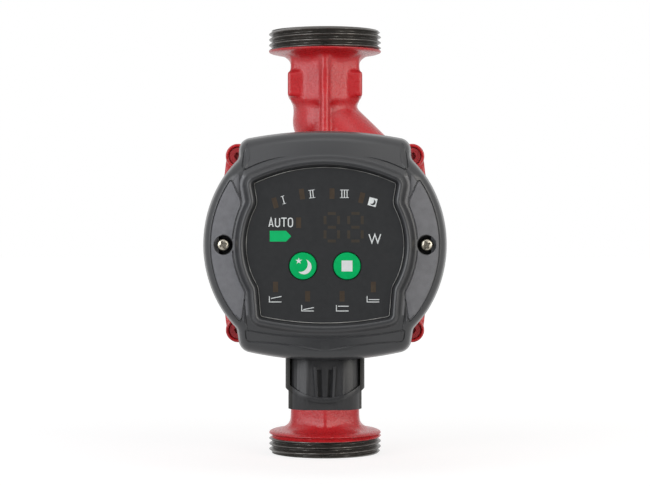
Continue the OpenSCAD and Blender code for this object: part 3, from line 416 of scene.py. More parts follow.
SLOT_FINISHES = {
    "red_casting": PAINT_CAST,
    "red_motor": PAINT_SMOOTH,
    "cover_grey": COVER_PLASTIC,
    "film_black": FILM_PLASTIC,
    "black_plastic": BLACK_PLASTIC,
    "green_key": GREEN_KEY,
    "screw_steel": SCREW_PLATE,
    "black_screw": speckled("painted_screw", (0.34, 0.026, 0.032), 0.34, 0.3, 0.01, 0.15),
    "stainless": banded("drawn_steel", STEEL, 0.3, 0.25, "Y", 0.004, Metallic=1.0),
    "ceramic": speckled("ground_ceramic", (0.82, 0.79, 0.72), 0.25, 0.4, 0.004, 0.04),
    "carbon": speckled("carbon", (0.03, 0.03, 0.032), 0.35, 0.3, 0.01, 0.2),
    "magnet": speckled("sintered_magnet", (0.09, 0.09, 0.1), 0.45, 0.4, 0.02, 0.2, Metallic=0.6),
    "laminations": banded("lamination_stack", (0.3, 0.31, 0.33), 0.4, 0.5, "Y", 0.05, Metallic=0.9),
    "copper": banded("enamelled_wire", (0.55, 0.21, 0.08), 0.3, 0.6, "DIAGONAL", 0.12, Metallic=0.7),
    "bobbin_white": speckled("bobbin_plastic", (0.68, 0.66, 0.58), 0.45, 0.3, 0.01, 0.05),
    "composite": speckled("filled_composite", (0.03, 0.03, 0.033), 0.4, 0.5, 0.015, 0.25),
    "brass_contact": speckled("contact_brass", BRASS, 0.25, 0.4, 0.006, 0.1, Metallic=1.0),
    "seal_rubber": speckled("seal_rubber", (0.012, 0.012, 0.012), 0.7, 0.4, 0.02, 0.2),
    "board_green": board_finish(),
    "led_white": speckled("led_lens", (0.7, 0.66, 0.5), 0.2, 0.3, 0.003, 0.06),
    "capacitor_blue": speckled("capacitor_sleeve", (0.02, 0.03, 0.1), 0.3, 0.6, 0.005, 0.15),
    "ferrite": speckled("coated_ferrite", (0.06, 0.045, 0.035), 0.5, 0.4, 0.03, 0.25),
    "insert_grey": speckled("insert_plastic", (0.06, 0.06, 0.063), 0.45, 0.3, 0.01, 0.1),
}
for part in frame["record"]["subparts"]:
    mesh = NODES[part["node"]].data
    mesh.materials.clear()
    mesh.materials.append(SLOT_FINISHES[part["material_slot"]])


# Castings

def front_rib(node, top, foot, half_w, proud):
    """A straight rib down a node's front, flush with it at the top and proud of it at the foot."""
    tree = BVHTree.FromObject(NODES[node], bpy.context.evaluated_depsgraph_get())
    edge = 0.5
    depth = 7.0
    section = [(half_w, depth), (half_w, edge), (half_w - edge, 0.0)]
    section += [(-x, back) for x, back in reversed(section)]
    rings = []
    for height, stand in ((top, 0.0), (foot, proud)):
        front = tree.ray_cast(Vector((0, -1, height * MM)), Vector((0, 1, 0)))[0].y / MM - stand
        rings.append([Vector((x, front + back, height)) * MM for x, back in section])
    return loft("front_rib", rings)


def cast_copy(node, name, voxel, rounds, extras=()):
    """A copy of a node's form and of extra forms, with the soft edges and hollows of a casting."""
    bm = bmesh.new()
    bm.from_mesh(NODES[node].data)
    for extra in extras:
        bm.from_mesh(extra.data)
        bpy.data.objects.remove(extra)
    obj = new_object(name, bm)
    skin = obj.modifiers.new("skin", "REMESH")
    skin.mode = "VOXEL"
    skin.voxel_size = voxel * MM
    smooth = obj.modifiers.new("smooth", "SMOOTH")
    smooth.factor = 0.5
    smooth.iterations = rounds
    bake_modifiers(obj)
    return obj


def trim(obj, height, up):
    """Cuts a piece off at a height in millimetres, upwards or downwards, and closes the cut."""
    bm = bmesh.new()
    bm.from_mesh(obj.data)
    everything = bm.verts[:] + bm.edges[:] + bm.faces[:]
    level = Vector((0, 0, height * MM))
    bmesh.ops.bisect_plane(bm, geom=everything, plane_co=level, plane_no=(0, 0, up), clear_outer=True)
    rim = [edge for edge in bm.edges if edge.is_boundary]
    bmesh.ops.triangle_fill(bm, use_beauty=True, edges=rim)
    face_outwards(bm)
    bm.to_mesh(obj.data)
    bm.free()


def thread_ring(name, end, inwards):
    """A port's male thread: a ring with a helical outside, from the end face to the casting's lip."""
    pitch = 2.309
    depth = 1.5
    chamfer = 1.1
    crest_gain = 1.16
    root_share = 0.05
    start = 0.35
    bore_r = 13.0
    steps = 180
    rows = 84
    rings = []
    for row in range(rows + 1):
        height = THREAD_LEN * row / rows
        z = end + inwards * height
        ring = []
        for i in range(steps):
            angle = 2 * math.pi * i / steps
            phase = (height / pitch - inwards * i / steps + start) % 1.0
            crest = crest_gain * (1 - abs(2 * phase - 1)) - root_share
            radius = THREAD_R - depth * (1 - min(1.0, max(0.0, crest)))
            radius = min(radius, THREAD_R - chamfer + height)
            ring.append(Vector((radius * math.cos(angle), radius * math.sin(angle), z)) * MM)
        rings.append(ring)
    bore = arc((0.0, 0.0), bore_r, 0, 360, steps)[:-1]
    for height in (THREAD_LEN, 0.0):
        z = end + inwards * height
        rings.append([Vector((x, y, z)) * MM for x, y in bore])
    return loft(name, rings, closed=True)


def melt(obj, low, high, rounds, spared=0.0):
    """Blends the steps of a casting between two heights, apart from a strip down its middle."""
    group = obj.vertex_groups.new(name="melt")
    for vertex in obj.data.vertices:
        share = (vertex.co.z / MM - low) / (high - low)
        if 0 < share < 1 and abs(vertex.co.x) >= spared * MM:
            group.add([vertex.index], math.sin(math.pi * share), "REPLACE")
    smooth = obj.modifiers.new("melt", "SMOOTH")
    smooth.factor = 0.5
    smooth.iterations = rounds
    smooth.vertex_group = group.name
    bake_modifiers(obj)


RIB_TOP = PORT_SPAN - 26
RIB_FOOT = PORT_SPAN - 56
PADS_TOP = PORT_SPAN - 29
PADS_FOOT = PORT_SPAN - 37
UPPER_FILLET_FOOT = PORT_SPAN - 18
LOWER_FILLET_TOP = 28

lower_rib = front_rib("pump_housing", RIB_TOP, RIB_FOOT, half_w=1.6, proud=1.0)
casting = cast_copy("pump_housing", "housing_casting", voxel=0.7, rounds=4, extras=[lower_rib])
melt(casting, PADS_FOOT, PADS_TOP, rounds=25, spared=2.6)
melt(casting, UPPER_FILLET_FOOT, PORT_SPAN - THREAD_LEN, rounds=25)
melt(casting, THREAD_LEN, LOWER_FILLET_TOP, rounds=110)
trim(casting, THREAD_LEN, up=-1)
trim(casting, PORT_SPAN - THREAD_LEN, up=1)
dress(casting, "frame", PAINT_CAST, sharp=180)
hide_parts("pump_housing")
lower_thread = dress(thread_ring("lower_thread", 0.0, 1), "frame", THREAD_METAL, sharp=25)
lower_thread.data.materials.append(PAINT_CAST)
for face in lower_thread.data.polygons:
    if face.center.z / MM > THREAD_LEN - PAINTED_THREAD:
        face.material_index = 1
dress(thread_ring("upper_thread", PORT_SPAN, -1), "frame", THREAD_METAL, sharp=25)

motor = cast_copy("motor_housing", "motor_casting", voxel=0.6, rounds=9)
dress(motor, "frame", PAINT_SMOOTH, sharp=180)
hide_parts("motor_housing")


# Cover

def shield_end(shape, end):
    """Centres of the notch, corner and edge arcs of an outline's end, and the angles where they meet."""
    lean = math.radians(end.lean)
    out = Vector((math.cos(lean), math.sin(lean)))
    along = Vector((-math.sin(lean), math.cos(lean)))
    notch_out = end.shoulder + shape.notch_r
    notch_up = math.sqrt((shape.side_r + shape.notch_r) ** 2 - notch_out ** 2)
    notch = notch_out * out + notch_up * along
    edge_centre = Vector((0.0, end.edge - end.edge_r))
    corner_out = end.shoulder - end.corner_r
    reach = corner_out - edge_centre.dot(out)
    corner_up = edge_centre.dot(along) + math.sqrt((end.edge_r - end.corner_r) ** 2 - reach ** 2)
    corner = corner_out * out + corner_up * along
    side_angle = math.degrees(math.atan2(notch.y, notch.x))
    edge_angle = math.degrees(math.atan2(corner.y - edge_centre.y, corner.x))
    return notch, corner, edge_centre, side_angle, edge_angle


def shield_half(shape, end, grow):
    """Right half of an outline's end, from the side arc to the middle of the edge."""
    notch, corner, edge_centre, side_angle, edge_angle = shield_end(shape, end)
    points = arc(notch, shape.notch_r - grow, 180 + side_angle, 180 + end.lean, 14)
    points += arc(corner, end.corner_r + grow, end.lean, edge_angle, 14)[:-1]
    points += arc(edge_centre, end.edge_r + grow, edge_angle, 90, 26)
    return points, side_angle


def shield(shape, grow):
    """Points of a whole outline, moved outwards by grow, counter-clockwise."""
    upper, upper_angle = shield_half(shape, shape.top, grow)
    lower, lower_angle = shield_half(shape, shape.bottom, grow)
    right = [(x, -y) for x, y in reversed(lower)]
    right += arc((0.0, 0.0), shape.side_r + grow, -lower_angle, upper_angle, 60)[1:-1]
    right += upper
    left = [(-x, y) for x, y in reversed(right[1:-1])]
    return right + left


def face_fall(x, y):
    """Fall of the cover's domed face at a place on it, with more of it above and below the film."""
    lead = 3
    top_start = FILM_SHAPE.top.edge - lead
    bottom_start = FILM_SHAPE.bottom.edge - lead
    upper = max(0.0, (y - top_start) / (COVER_SHAPE.top.edge - top_start))
    lower = max(0.0, (-y - bottom_start) / (COVER_SHAPE.bottom.edge - bottom_start))
    sides = (1 / DOME_R + (upper + lower) / END_BOW_R) * x ** 2 / 2
    return TOP_FALL * upper ** 1.5 + BOTTOM_FALL * lower ** 1.5 + sides


def ring_at(shape, grow, level, fall=0.0):
    """An outline in the world, at a level that follows a share of the face's fall."""
    return [place(x, y, level - fall * face_fall(x, y)) for x, y in shield(shape, grow)]


def cover_rings():
    """Rings of the cover from the inside of its display panel, round its rim, to the film's seat."""
    panel_t = 2.2
    panel_back = FILM_BACK - panel_t
    ridge = 0.45 * RIM_W
    ridge_drop = 1.2
    lip = 0.8
    back_edge = 0.2
    seat_edge = 0.3
    seat_gap = 0.12
    inside = -COVER_WALL - COVER_DRAFT
    rings = [
        ring_at(FILM_SHAPE, -lip, panel_back),
        ring_at(FILM_SHAPE, 1.5, panel_back),
        ring_at(COVER_SHAPE, inside - 1.6, FACE - COVER_WALL - 0.6, 1.0),
        ring_at(COVER_SHAPE, inside, FACE - COVER_ROUND - 1.5, 1.0),
        ring_at(COVER_SHAPE, -COVER_WALL, COVER_BACK),
        ring_at(COVER_SHAPE, -back_edge, COVER_BACK),
        ring_at(COVER_SHAPE, 0.0, COVER_BACK + back_edge),
        ring_at(COVER_SHAPE, 0.0, FACE - COVER_ROUND - COVER_DRAFT_H, 1.0),
    ]
    for angle in range(0, 91, 9):
        turn = math.radians(angle)
        grow = -COVER_DRAFT - COVER_ROUND * (1 - math.cos(turn))
        rings.append(ring_at(COVER_SHAPE, grow, FACE - COVER_ROUND * (1 - math.sin(turn)), 1.0))
    rings.append(ring_at(FILM_SHAPE, RIM_W + lip, FACE, 1.0))
    for step in range(11):
        part = step / 10
        climb = (1 - math.cos(math.pi * part)) / 2
        grow = RIM_W - (RIM_W - ridge) * part
        fall = 1 - (1 - RIDGE_FALL_SHARE) * climb
        rings.append(ring_at(FILM_SHAPE, grow, FACE + RIM_H * climb, fall))
    for angle in range(15, 91, 15):
        turn = math.radians(angle)
        grow = ridge - (ridge - lip) * math.sin(turn)
        level = FACE + RIM_H - ridge_drop * (1 - math.cos(turn))
        rings.append(ring_at(FILM_SHAPE, grow, level, RIDGE_FALL_SHARE))
    rings.append(ring_at(FILM_SHAPE, seat_edge, FILM_BACK + seat_edge))
    rings.append(ring_at(FILM_SHAPE, seat_gap, FILM_BACK))
    return rings


def straight(start, end, steps):
    """Points on a straight line, with both ends."""
    return [
        (start[0] + (end[0] - start[0]) * i / steps, start[1] + (end[1] - start[1]) * i / steps)
        for i in range(steps + 1)
    ]


def bowed(start, end, bow, steps):
    """Points on a shallow arc between two places, bowed to the left of the way by a height."""
    half = Vector((end[0] - start[0], end[1] - start[1])) / 2
    side = Vector((-half.y, half.x)).normalized()
    points = []
    for i in range(steps + 1):
        along = 2 * i / steps - 1
        point = Vector(start) + half * (1 + along) + side * bow * (1 - along ** 2)
        points.append((point.x, point.y))
    return points


def rounded(points, rounds, closed=True):
    """A path whose points are averaged with their neighbours, which rounds its corners."""
    path = list(points)
    for _ in range(rounds):
        before = path[-1:] + path[:-1]
        after = path[1:] + path[:1]
        soft = [
            ((a[0] + 2 * b[0] + c[0]) / 4, (a[1] + 2 * b[1] + c[1]) / 4)
            for a, b, c in zip(before, path, after)
        ]
        path = soft if closed else path[:1] + soft[1:-1] + path[-1:]
    return path


def mirrored(points):
    """The same points on the other side of the middle."""
    return [(-x, y) for x, y in points]


def leaf_path():
    """Closed path of the right side panel's groove."""
    outer_r = 43.3
    inner_r = 34.9
    outer_top = math.degrees(math.atan2(24.5, 34.75))
    outer_bottom = math.degrees(math.atan2(-29.1, 31.5))
    inner_bottom, inner_top = -30.5, 26.5
    inner_foot, inner_head = (29.9, -18.2), (31.6, 16.6)
    outer = arc((0.0, 0.0), outer_r, outer_top, outer_bottom, 70)
    lower = straight(outer[-1], inner_foot, 14)[1:]
    inner = arc((0.0, 0.0), inner_r, inner_bottom, inner_top, 40)
    upper = straight(inner_head, outer[0], 12)[:-1]
    return rounded(outer + lower + inner + upper, 3)


LEAF = leaf_path()


def encloses(outline, spot):
    """Whether a closed outline goes round a spot."""
    crossings = 0
    for a, b in zip(outline, outline[1:] + outline[:1]):
        if (a[1] > spot[1]) != (b[1] > spot[1]):
            crossings += a[0] + (b[0] - a[0]) * (spot[1] - a[1]) / (b[1] - a[1]) > spot[0]
    return crossings % 2 == 1


def top_panel_path():
    """Open path at the right end of the top panel, from the middle of its lower edge to the top."""
    lower = bowed((14.0, 33.4), (30.2, 28.3), 0.8, 24)
    side = bowed((31.2, 29.2), (29.6, 38.6), -0.4, 14)
    return rounded(lower + [(31.0, 28.4)] + side, 2, closed=False)


def bottom_panel_path():
    """Closed path of the bottom panel's groove."""
    upper = bowed((0.0, -34.9), (30.0, -32.1), -0.75, 34)
    side = straight((30.2, -32.6), (29.7, -36.3), 6)
    lower = bowed((29.3, -36.7), (0.0, -40.1), -0.8, 34)
    right = upper + side + lower
    left = mirrored(reversed(right[1:-1]))
    return rounded(right + left, 2)


def groove_cutters(obj):
    """Round bars half sunk in the cover's face that cut the outlines of its panels."""
    tree = BVHTree.FromObject(obj, bpy.context.evaluated_depsgraph_get())
    radius = 0.4
    sunk = 0.12
    fade = 0.5

    def even(_x, _y):
        """One depth all along."""
        return sunk

    def top_fade(x, y):
        """Less depth towards the middle and towards the top."""
        middle_x, middle_w = 23.0, 9
        upper_y, upper_h = 35.0, 3.6
        inwards = max(0.0, (middle_x - abs(x)) / middle_w)
        upwards = max(0.0, (y - upper_y) / upper_h)
        return sunk - fade * inwards - fade * upwards

    def bottom_fade(x, y):
        """Less depth in the middle of the lower line."""
        lower_y = -37.0
        half_w = 14
        lower_line = max(0.0, min(1.0, lower_y - y))
        return sunk - fade * lower_line * max(0.0, 1 - abs(x) / half_w)

    def cutter(path, depth, closed=True):
        """A bar along a path on the face, sunk by a depth that follows the place."""
        points = []
        for x, y in path:
            face = tree.ray_cast(place(x, y, 2 * FACE), Vector((0, 1, 0)))[0]
            points.append(face + Vector((0, depth(x, y), 0)) * MM)
        return tube("groove_cut", points, radius * MM, closed)

    return [
        cutter(LEAF, even),
        cutter(mirrored(LEAF), even),
        cutter(top_panel_path(), top_fade, False),
        cutter(mirrored(top_panel_path()), top_fade, False),
        cutter(bottom_panel_path(), bottom_fade),
    ]


def turned(name, x, y, profile):
    """A solid of revolution about a line along the motor axis."""
    return lathe(name, profile, lambda u, v, depth: place(x + u, y + v, depth))


def round_cutter(x, y, radius, low, high):
    """A round bar along the motor axis between two depths."""
    return turned("round_cut", x, y, [(0.0, low), (radius, low), (radius, high), (0.0, high)])


def recess_cutter(side):
    """A screw recess with a soft rim."""
    floor = FACE - RECESS_DEPTH
    edge = 0.5
    rim = arc((RECESS_R + edge, FACE - face_fall(SCREW_X, 0.0) - edge), edge, 180, 90, 4)
    profile = [(0.0, floor), (RECESS_R, floor), *rim, (RECESS_R + edge, FACE + 5), (0.0, FACE + 5)]
    return turned("recess_cut", side * SCREW_X, 0.0, profile)


def plug_space():
    """The space that the plug takes out of the underside of the cover."""
    low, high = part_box("plug_cap")
    gap = 0.35
    half_w = high.x / MM + gap
    half_d = (high.y - low.y) / MM / 2 + gap
    depth = -(high.y + low.y) / MM / 2
    corner = 9.9 + gap
    outline = []
    for quarter, (sx, sy) in enumerate(CORNER_SIGNS):
        start = 90 * quarter
        outline += arc((sx * (half_w - corner), sy * (half_d - corner)), corner, start, start + 90, 14)
    bottom = -60.0
    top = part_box("plug_shell")[1].z / MM + gap - AXIS_Z
    rings = [[place(x, level, depth + y) for x, y in outline] for level in (bottom, top)]
    return loft("plug_cut", rings)


def centre_of(node):
    """Middle of a node, right of and above the motor axis."""
    low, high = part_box(node)
    return (low.x + high.x) / 2 / MM, (low.z + high.z) / 2 / MM - AXIS_Z


KEYS = {"night_key": centre_of("night_key"), "stop_key": centre_of("stop_key")}

cover = loft("cover", cover_rings())
carve(cover, *groove_cutters(cover))
carve(cover, recess_cutter(-1), recess_cutter(1))
for key_x, key_y in KEYS.values():
    carve(cover, round_cutter(key_x, key_y, KEY_R + KEY_GAP, FILM_BACK - 5, FACE))
carve(cover, plug_space())
dress(cover, "frame", COVER_PLASTIC, sharp=30)
cover.data.materials.append(PANEL_PLASTIC)
for face in cover.data.polygons:
    spot = (abs(face.center.x) / MM, face.center.z / MM - AXIS_Z)
    if face.normal.y < -0.9 and encloses(LEAF, spot):
        face.material_index = 1
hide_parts("front_cover")


# Screws, keys and film edge

def cover_screw(name, side):
    """A pan-head screw with a cross recess."""
    floor = FACE - RECESS_DEPTH
    head_r = SCREW_HEAD_R - 0.25
    shank_r = 1.5
    shank_len = 13
    back = floor - shank_len
    rise = SCREW_HEAD_TOP - floor
    profile = [(0.0, back), (shank_r, back), (shank_r, floor), (head_r, floor)]
    profile += [(head_r, floor + 0.5 * rise), (0.93 * head_r, floor + 0.75 * rise)]
    profile += [(0.75 * head_r, floor + 0.92 * rise), (0.4 * head_r, SCREW_HEAD_TOP)]
    profile += [(0.0, SCREW_HEAD_TOP)]
    screw = turned(name, side * SCREW_X, 0.0, profile)
    for turn in (25, 115):
        way = Vector((math.cos(math.radians(turn)), math.sin(math.radians(turn))))
        across = Vector((-way.y, way.x))
        half_len, half_w = 1.5, 0.42
        corners = [half_len * a * way + half_w * b * across for a, b in CORNER_SIGNS]
        depths = (floor + 0.5 * rise, SCREW_HEAD_TOP + 1)
        carve(screw, loft("cross_cut", [
            [place(side * SCREW_X + c.x, c.y, depth) for c in corners] for depth in depths
        ]))
    return screw


def key_cap(name, node):
    """A key with a softly rounded edge and a flange behind the cover's panel."""
    back = -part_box(node)[1].y / MM
    flange_r = KEY_R + 1.2
    flange_front = back + 0.8
    edge = 0.3
    rounding = arc((KEY_R - edge, KEY_FRONT - edge), edge, 0, 90, 4)
    profile = [(0.0, back), (flange_r, back), (flange_r, flange_front), (KEY_R, flange_front)]
    profile += rounding + [(0.0, KEY_FRONT)]
    return turned(name, *KEYS[node], profile)


left_screw = cover_screw("left_cover_screw", -1)
dress(left_screw, "frame", SCREW_PLATE, sharp=30)
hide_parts("cover_screws")
dress(cover_screw("right_cover_screw", 1), "frame", SCREW_PLATE, sharp=30)

for key in KEYS:
    cap = key_cap(key + "_cap", key)
    dress(cap, key + "_body", GREEN_KEY, sharp=40)
    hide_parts(key)

EDGE_R = 0.12
edge_path = ring_at(FILM_SHAPE, -0.04, FILM_FRONT - EDGE_R / 4)
dress(tube("film_edge", edge_path, EDGE_R * MM, sides=6), "frame", FILM_EDGE, sharp=60)
for node, width in (("display_film", 0.12), ("control_base", 0.5), ("plug_insert", 0.3)):
    soften(NODES[node], width)

STRIP_X = 13.0
STRIP_FACING = 0.3
plug = joined("plug_body", "plug_shell", "plug_cap")
soften(plug, 0.18)
dress(plug, "plug", BLACK_PLASTIC, sharp=180)
plug.data.materials.append(PLUG_STRIP)
for face in plug.data.polygons:
    if abs(face.center.x) / MM > STRIP_X and abs(face.normal.x) > STRIP_FACING:
        face.material_index = 1
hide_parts("plug_shell", "plug_cap")


# Print on the film and on the keys

def stroke(points, width):
    """Outline of a line of even width with mitred corners."""
    mitre_limit = 0.35
    path = [Vector(point) for point in points]
    left, right = [], []
    for i, point in enumerate(path):
        before = (point - path[i - 1]).normalized() if i > 0 else None
        after = (path[i + 1] - point).normalized() if i + 1 < len(path) else None
        way = ((before or after) + (after or before)).normalized()
        side = Vector((-way.y, way.x))
        straight_side = Vector((-(after or before).y, (after or before).x))
        reach = side * (width / 2 / max(mitre_limit, side.dot(straight_side)))
        left.append(tuple(point + reach))
        right.append(tuple(point - reach))
    return left + right[::-1]


def box_outline(centre, width, height, turn=0.0):
    """Outline of a rectangle, turned counter-clockwise by an angle in degrees."""
    corners = [(width / 2 * a, height / 2 * b) for a, b in CORNER_SIGNS]
    return moved(corners, centre, turn)


def moved(points, centre, turn=0.0):
    """Points turned about their origin and then moved."""
    c, s = math.cos(math.radians(turn)), math.sin(math.radians(turn))
    return [(centre[0] + c * x - s * y, centre[1] + s * x + c * y) for x, y in points]


def crescent(outer, outer_r, inner, inner_r):
    """Outline of a circle without the part inside another circle."""
    apart = Vector(inner) - Vector(outer)
    gap = apart.length
    reach = (outer_r ** 2 - inner_r ** 2 + gap ** 2) / (2 * gap)
    facing = math.degrees(math.atan2(apart.y, apart.x))
    wide = math.degrees(math.acos(reach / outer_r))
    narrow = math.degrees(math.acos((gap - reach) / inner_r))
    rim = arc(outer, outer_r, facing + wide, facing + 360 - wide, 30)
    hollow = arc(inner, inner_r, facing + 180 + narrow, facing + 180 - narrow, 24)
    return rim + hollow[1:-1]


def star(centre, outer_r, inner_r):
    """Outline of an upright five-pointed star."""
    radii = (outer_r, inner_r) * 5
    angles = [math.radians(90 + 36 * k) for k in range(10)]
    return [(centre[0] + r * math.cos(a), centre[1] + r * math.sin(a)) for r, a in zip(radii, angles)]


def numeral(count, centre, turn):
    """Outlines of a Roman numeral of one to three bars with serifs."""
    height, stem, pitch = 3.1, 0.32, 0.98
    serif, serif_w = 0.2, 1.35
    width = (count - 1) * pitch + serif_w
    shapes = [box_outline((0.0, side * (height - serif) / 2), width, serif) for side in (-1, 1)]
    for k in range(count):
        shapes.append(box_outline(((k - (count - 1) / 2) * pitch, 0.0), stem, height - 2 * serif))
    return [moved(shape, centre, turn) for shape in shapes]


def word_auto(left, bottom, width, height, line):
    """Outlines of the word AUTO in narrow capitals."""
    gap = 0.45
    pitch = (width + gap) / 4
    w = pitch - gap - line
    h = height - line
    bow = arc((w / 2, w / 2), w / 2, 180, 360, 10)
    ring = arc((w / 2, h - w / 2), w / 2, 0, 180, 10) + bow
    legs = stroke([(0.0, 0.0), (w / 2, h), (w, 0.0)], line)
    rung = box_outline((w / 2, 0.26 * h), 0.5 * w, 0.8 * line)
    cup = stroke([(0.0, h)] + bow + [(w, h)], line)
    roof = box_outline((w / 2, h), w + line, line)
    post = box_outline((w / 2, h / 2 - line / 4), line, h - line / 2)
    letters = [[legs, rung], [cup], [roof, post], [stroke(ring[5:] + ring[:6], line)]]
    shapes = []
    for k, letter in enumerate(letters):
        corner = (left + k * pitch + line / 2, bottom + line / 2)
        shapes += [moved(shape, corner) for shape in letter]
    return shapes


def digit(centre):
    """Outlines of the seven segments of a digit."""
    length, width = 3.1, 1.1
    bar_y = 5.2
    post_x, post_y = 2.55, 2.7
    bars = [(0.0, rise) for rise in (-bar_y, 0.0, bar_y)]
    posts = [(side * post_x, rise) for side in (-1, 1) for rise in (-post_y, post_y)]
    shapes = [box_outline(bar, length, width) for bar in bars]
    shapes += [box_outline(post, width, length) for post in posts]
    return [moved(shape, centre) for shape in shapes]


def graph_sign(centre, start, end):
    """Outlines of a small graph: two axes and a line from one height to another."""
    half_w, half_h, line = 2.3, 1.1, 0.3
    axes = stroke([(-half_w, half_h), (-half_w, -half_h), (half_w, -half_h)], line)
    curve = stroke([(-half_w + 0.6, start), (half_w, end)], line)
    return [moved(shape, centre) for shape in (axes, curve)]


def turns_left(outline):
    """Whether an outline runs counter-clockwise."""
    following = outline[1:] + outline[:1]
    return sum(a[0] * b[1] - b[0] * a[1] for a, b in zip(outline, following)) > 0


def printed(name, outlines, level, material, body="frame", thickness=0.03):
    """A print of one ink: flat outlines raised a little above a level."""
    bm = bmesh.new()
    for outline in outlines:
        points = outline if turns_left(outline) else outline[::-1]
        low = [bm.verts.new(place(x, y, level - thickness)) for x, y in points]
        high = [bm.verts.new(place(x, y, level + thickness)) for x, y in points]
        bm.faces.new(low[::-1])
        bm.faces.new(high)
        for i in range(len(points)):
            j = (i + 1) % len(points)
            bm.faces.new((low[i], low[j], high[j], high[i]))
    return dress(new_object(name, bm), body, material, sharp=20)


# Places of the light windows, with their turn in degrees, and of the digits
LETTER_LINE = 0.42
WINDOW_SIZE = (1.9, 4.0)
WINDOWS = [
    (-18.85, 15.9, 15), (-8.7, 19.2, 8), (2.65, 19.4, 0), (13.85, 17.8, -14), (-9.95, 8.4, 0),
    (-18.65, -15.85, 0), (-6.55, -19.35, 0), (6.45, -19.35, 0), (18.25, -15.85, 0),
]
DIGIT_CENTRES = ((2.57, 6.7), (11.5, 6.7))

windows = [box_outline((x, y), *WINDOW_SIZE, turn) for x, y, turn in WINDOWS]
printed("led_windows", windows, FILM_FRONT, LED_WINDOW)

segments = [segment for centre in DIGIT_CENTRES for segment in digit(centre)]
printed("digit_segments", segments, FILM_FRONT, SEGMENT_INK)

numerals = numeral(1, (-15.7, 17.0), 16) + numeral(2, (-5.0, 19.25), 6) + numeral(3, (7.35, 19.3), 0)
printed("stage_numerals", numerals, FILM_FRONT, WHITE_INK)
auto = word_auto(left=-21.35, bottom=6.7, width=9.3, height=3.65, line=LETTER_LINE)
printed("auto_word", auto, FILM_FRONT, WHITE_INK)
watt = stroke([(16.6, 4.1), (17.7, 0.85), (18.8, 4.0), (19.9, 0.85), (21.0, 4.1)], LETTER_LINE)
printed("watt_sign", [watt], FILM_FRONT, WHITE_INK)
printed("night_sign", [box_outline((17.95, 16.2), 3.1, 3.1, -15)], FILM_FRONT, WHITE_INK)
night_moon = crescent((18.0, 16.1), 1.1, (17.45, 16.6), 1.05)
printed("night_sign_moon", [night_moon], FILM_FRONT, FILM_PLASTIC, thickness=0.04)
tag = [(-20.85, 1.3), (-14.7, 1.3), (-12.75, 3.3), (-14.7, 5.35), (-20.85, 5.35)]
printed("mode_tag", [tag], FILM_FRONT, GREEN_INK)
graphs = graph_sign((-18.7, -20.4), 0.2, 1.0) + graph_sign((-6.5, -23.8), -0.6, 0.2)
graphs += graph_sign((6.6, -23.8), 0.7, 0.7) + graph_sign((18.2, -20.4), -0.2, -0.2)
printed("curve_signs", graphs, FILM_FRONT, WHITE_INK)

moon = crescent((0.4, -0.31), 2.83, (-1.09, 0.63), 2.87)
night_signs = [moved(shape, KEYS["night_key"]) for shape in (moon, star((-1.6, 1.91), 1.3, 0.52))]
printed("night_key_sign", night_signs, KEY_FRONT, WHITE_INK, "night_key_body")
stop_sign = box_outline(KEYS["stop_key"], 4.1, 4.1)
printed("stop_key_sign", [stop_sign], KEY_FRONT, WHITE_INK, "stop_key_body")


# Stage, light and camera

def softbox(name, azimuth, elevation, size, power, colour):
    """A soft rectangular light a metre from the pump and aimed at it, at an angle from the front."""
    distance = 1.0
    light = bpy.data.lights.new(name, "AREA")
    light.shape = "RECTANGLE"
    light.size, light.size_y = size
    light.energy = power
    light.color = colour
    lamp = bpy.data.objects.new(name, light)
    turn = math.radians(azimuth)
    rise = math.radians(elevation)
    aim = Vector((0, 0, AXIS_Z * MM))
    way = Vector((math.sin(turn) * math.cos(rise), -math.cos(turn) * math.cos(rise), math.sin(rise)))
    lamp.location = aim + distance * way
    lamp.rotation_euler = (-way).to_track_quat("-Z", "Y").to_euler()
    bpy.context.scene.collection.objects.link(lamp)


def background_rays(tree):
    """1 for the rays that show the background: straight, mirrored or through glass."""
    path = tree.nodes.new("ShaderNodeLightPath")
    seen = path.outputs["Is Camera Ray"]
    for kind in ("Is Glossy Ray", "Is Transmission Ray"):
        either = tree.nodes.new("ShaderNodeMath")
        either.operation = "MAXIMUM"
        tree.links.new(seen, either.inputs[0])
        tree.links.new(path.outputs[kind], either.inputs[1])
        seen = either.outputs["Value"]
    return seen


def remapped(tree, value, span, result):
    """A value in one span mapped onto another."""
    ramp = tree.nodes.new("ShaderNodeMapRange")
    for socket, limit in zip(("From Min", "From Max", "To Min", "To Max"), (*span, *result)):
        ramp.inputs[socket].default_value = limit
    tree.links.new(value, ramp.inputs["Value"])
    return ramp.outputs["Result"]


def black_card():
    """A dark cloth on the floor in front of the pump and up behind the camera, which only gloss shows."""
    bm = bmesh.new()
    near, far = -0.17, -1.6
    narrow, wide = 0.03, 0.3
    lift, height = 0.001, 0.7
    path = [(narrow, near, lift), (wide, far, lift), (wide, far, height)]
    rows = [[bm.verts.new((x, y, z)) for x in (-half_w, half_w)] for half_w, y, z in path]
    for (a, b), (c, d) in zip(rows, rows[1:]):
        bm.faces.new((a, b, d, c))
    card = new_object("black_card", bm)
    cloth = speckled("black_cloth", (0.01, 0.01, 0.01), 1.0, 2.0, 0.1, 0.2, Specular_IOR_Level=0.0)
    card.data.materials.append(cloth)
    card.visible_camera = False
    card.visible_diffuse = False
    card.visible_transmission = False
    card.visible_shadow = False


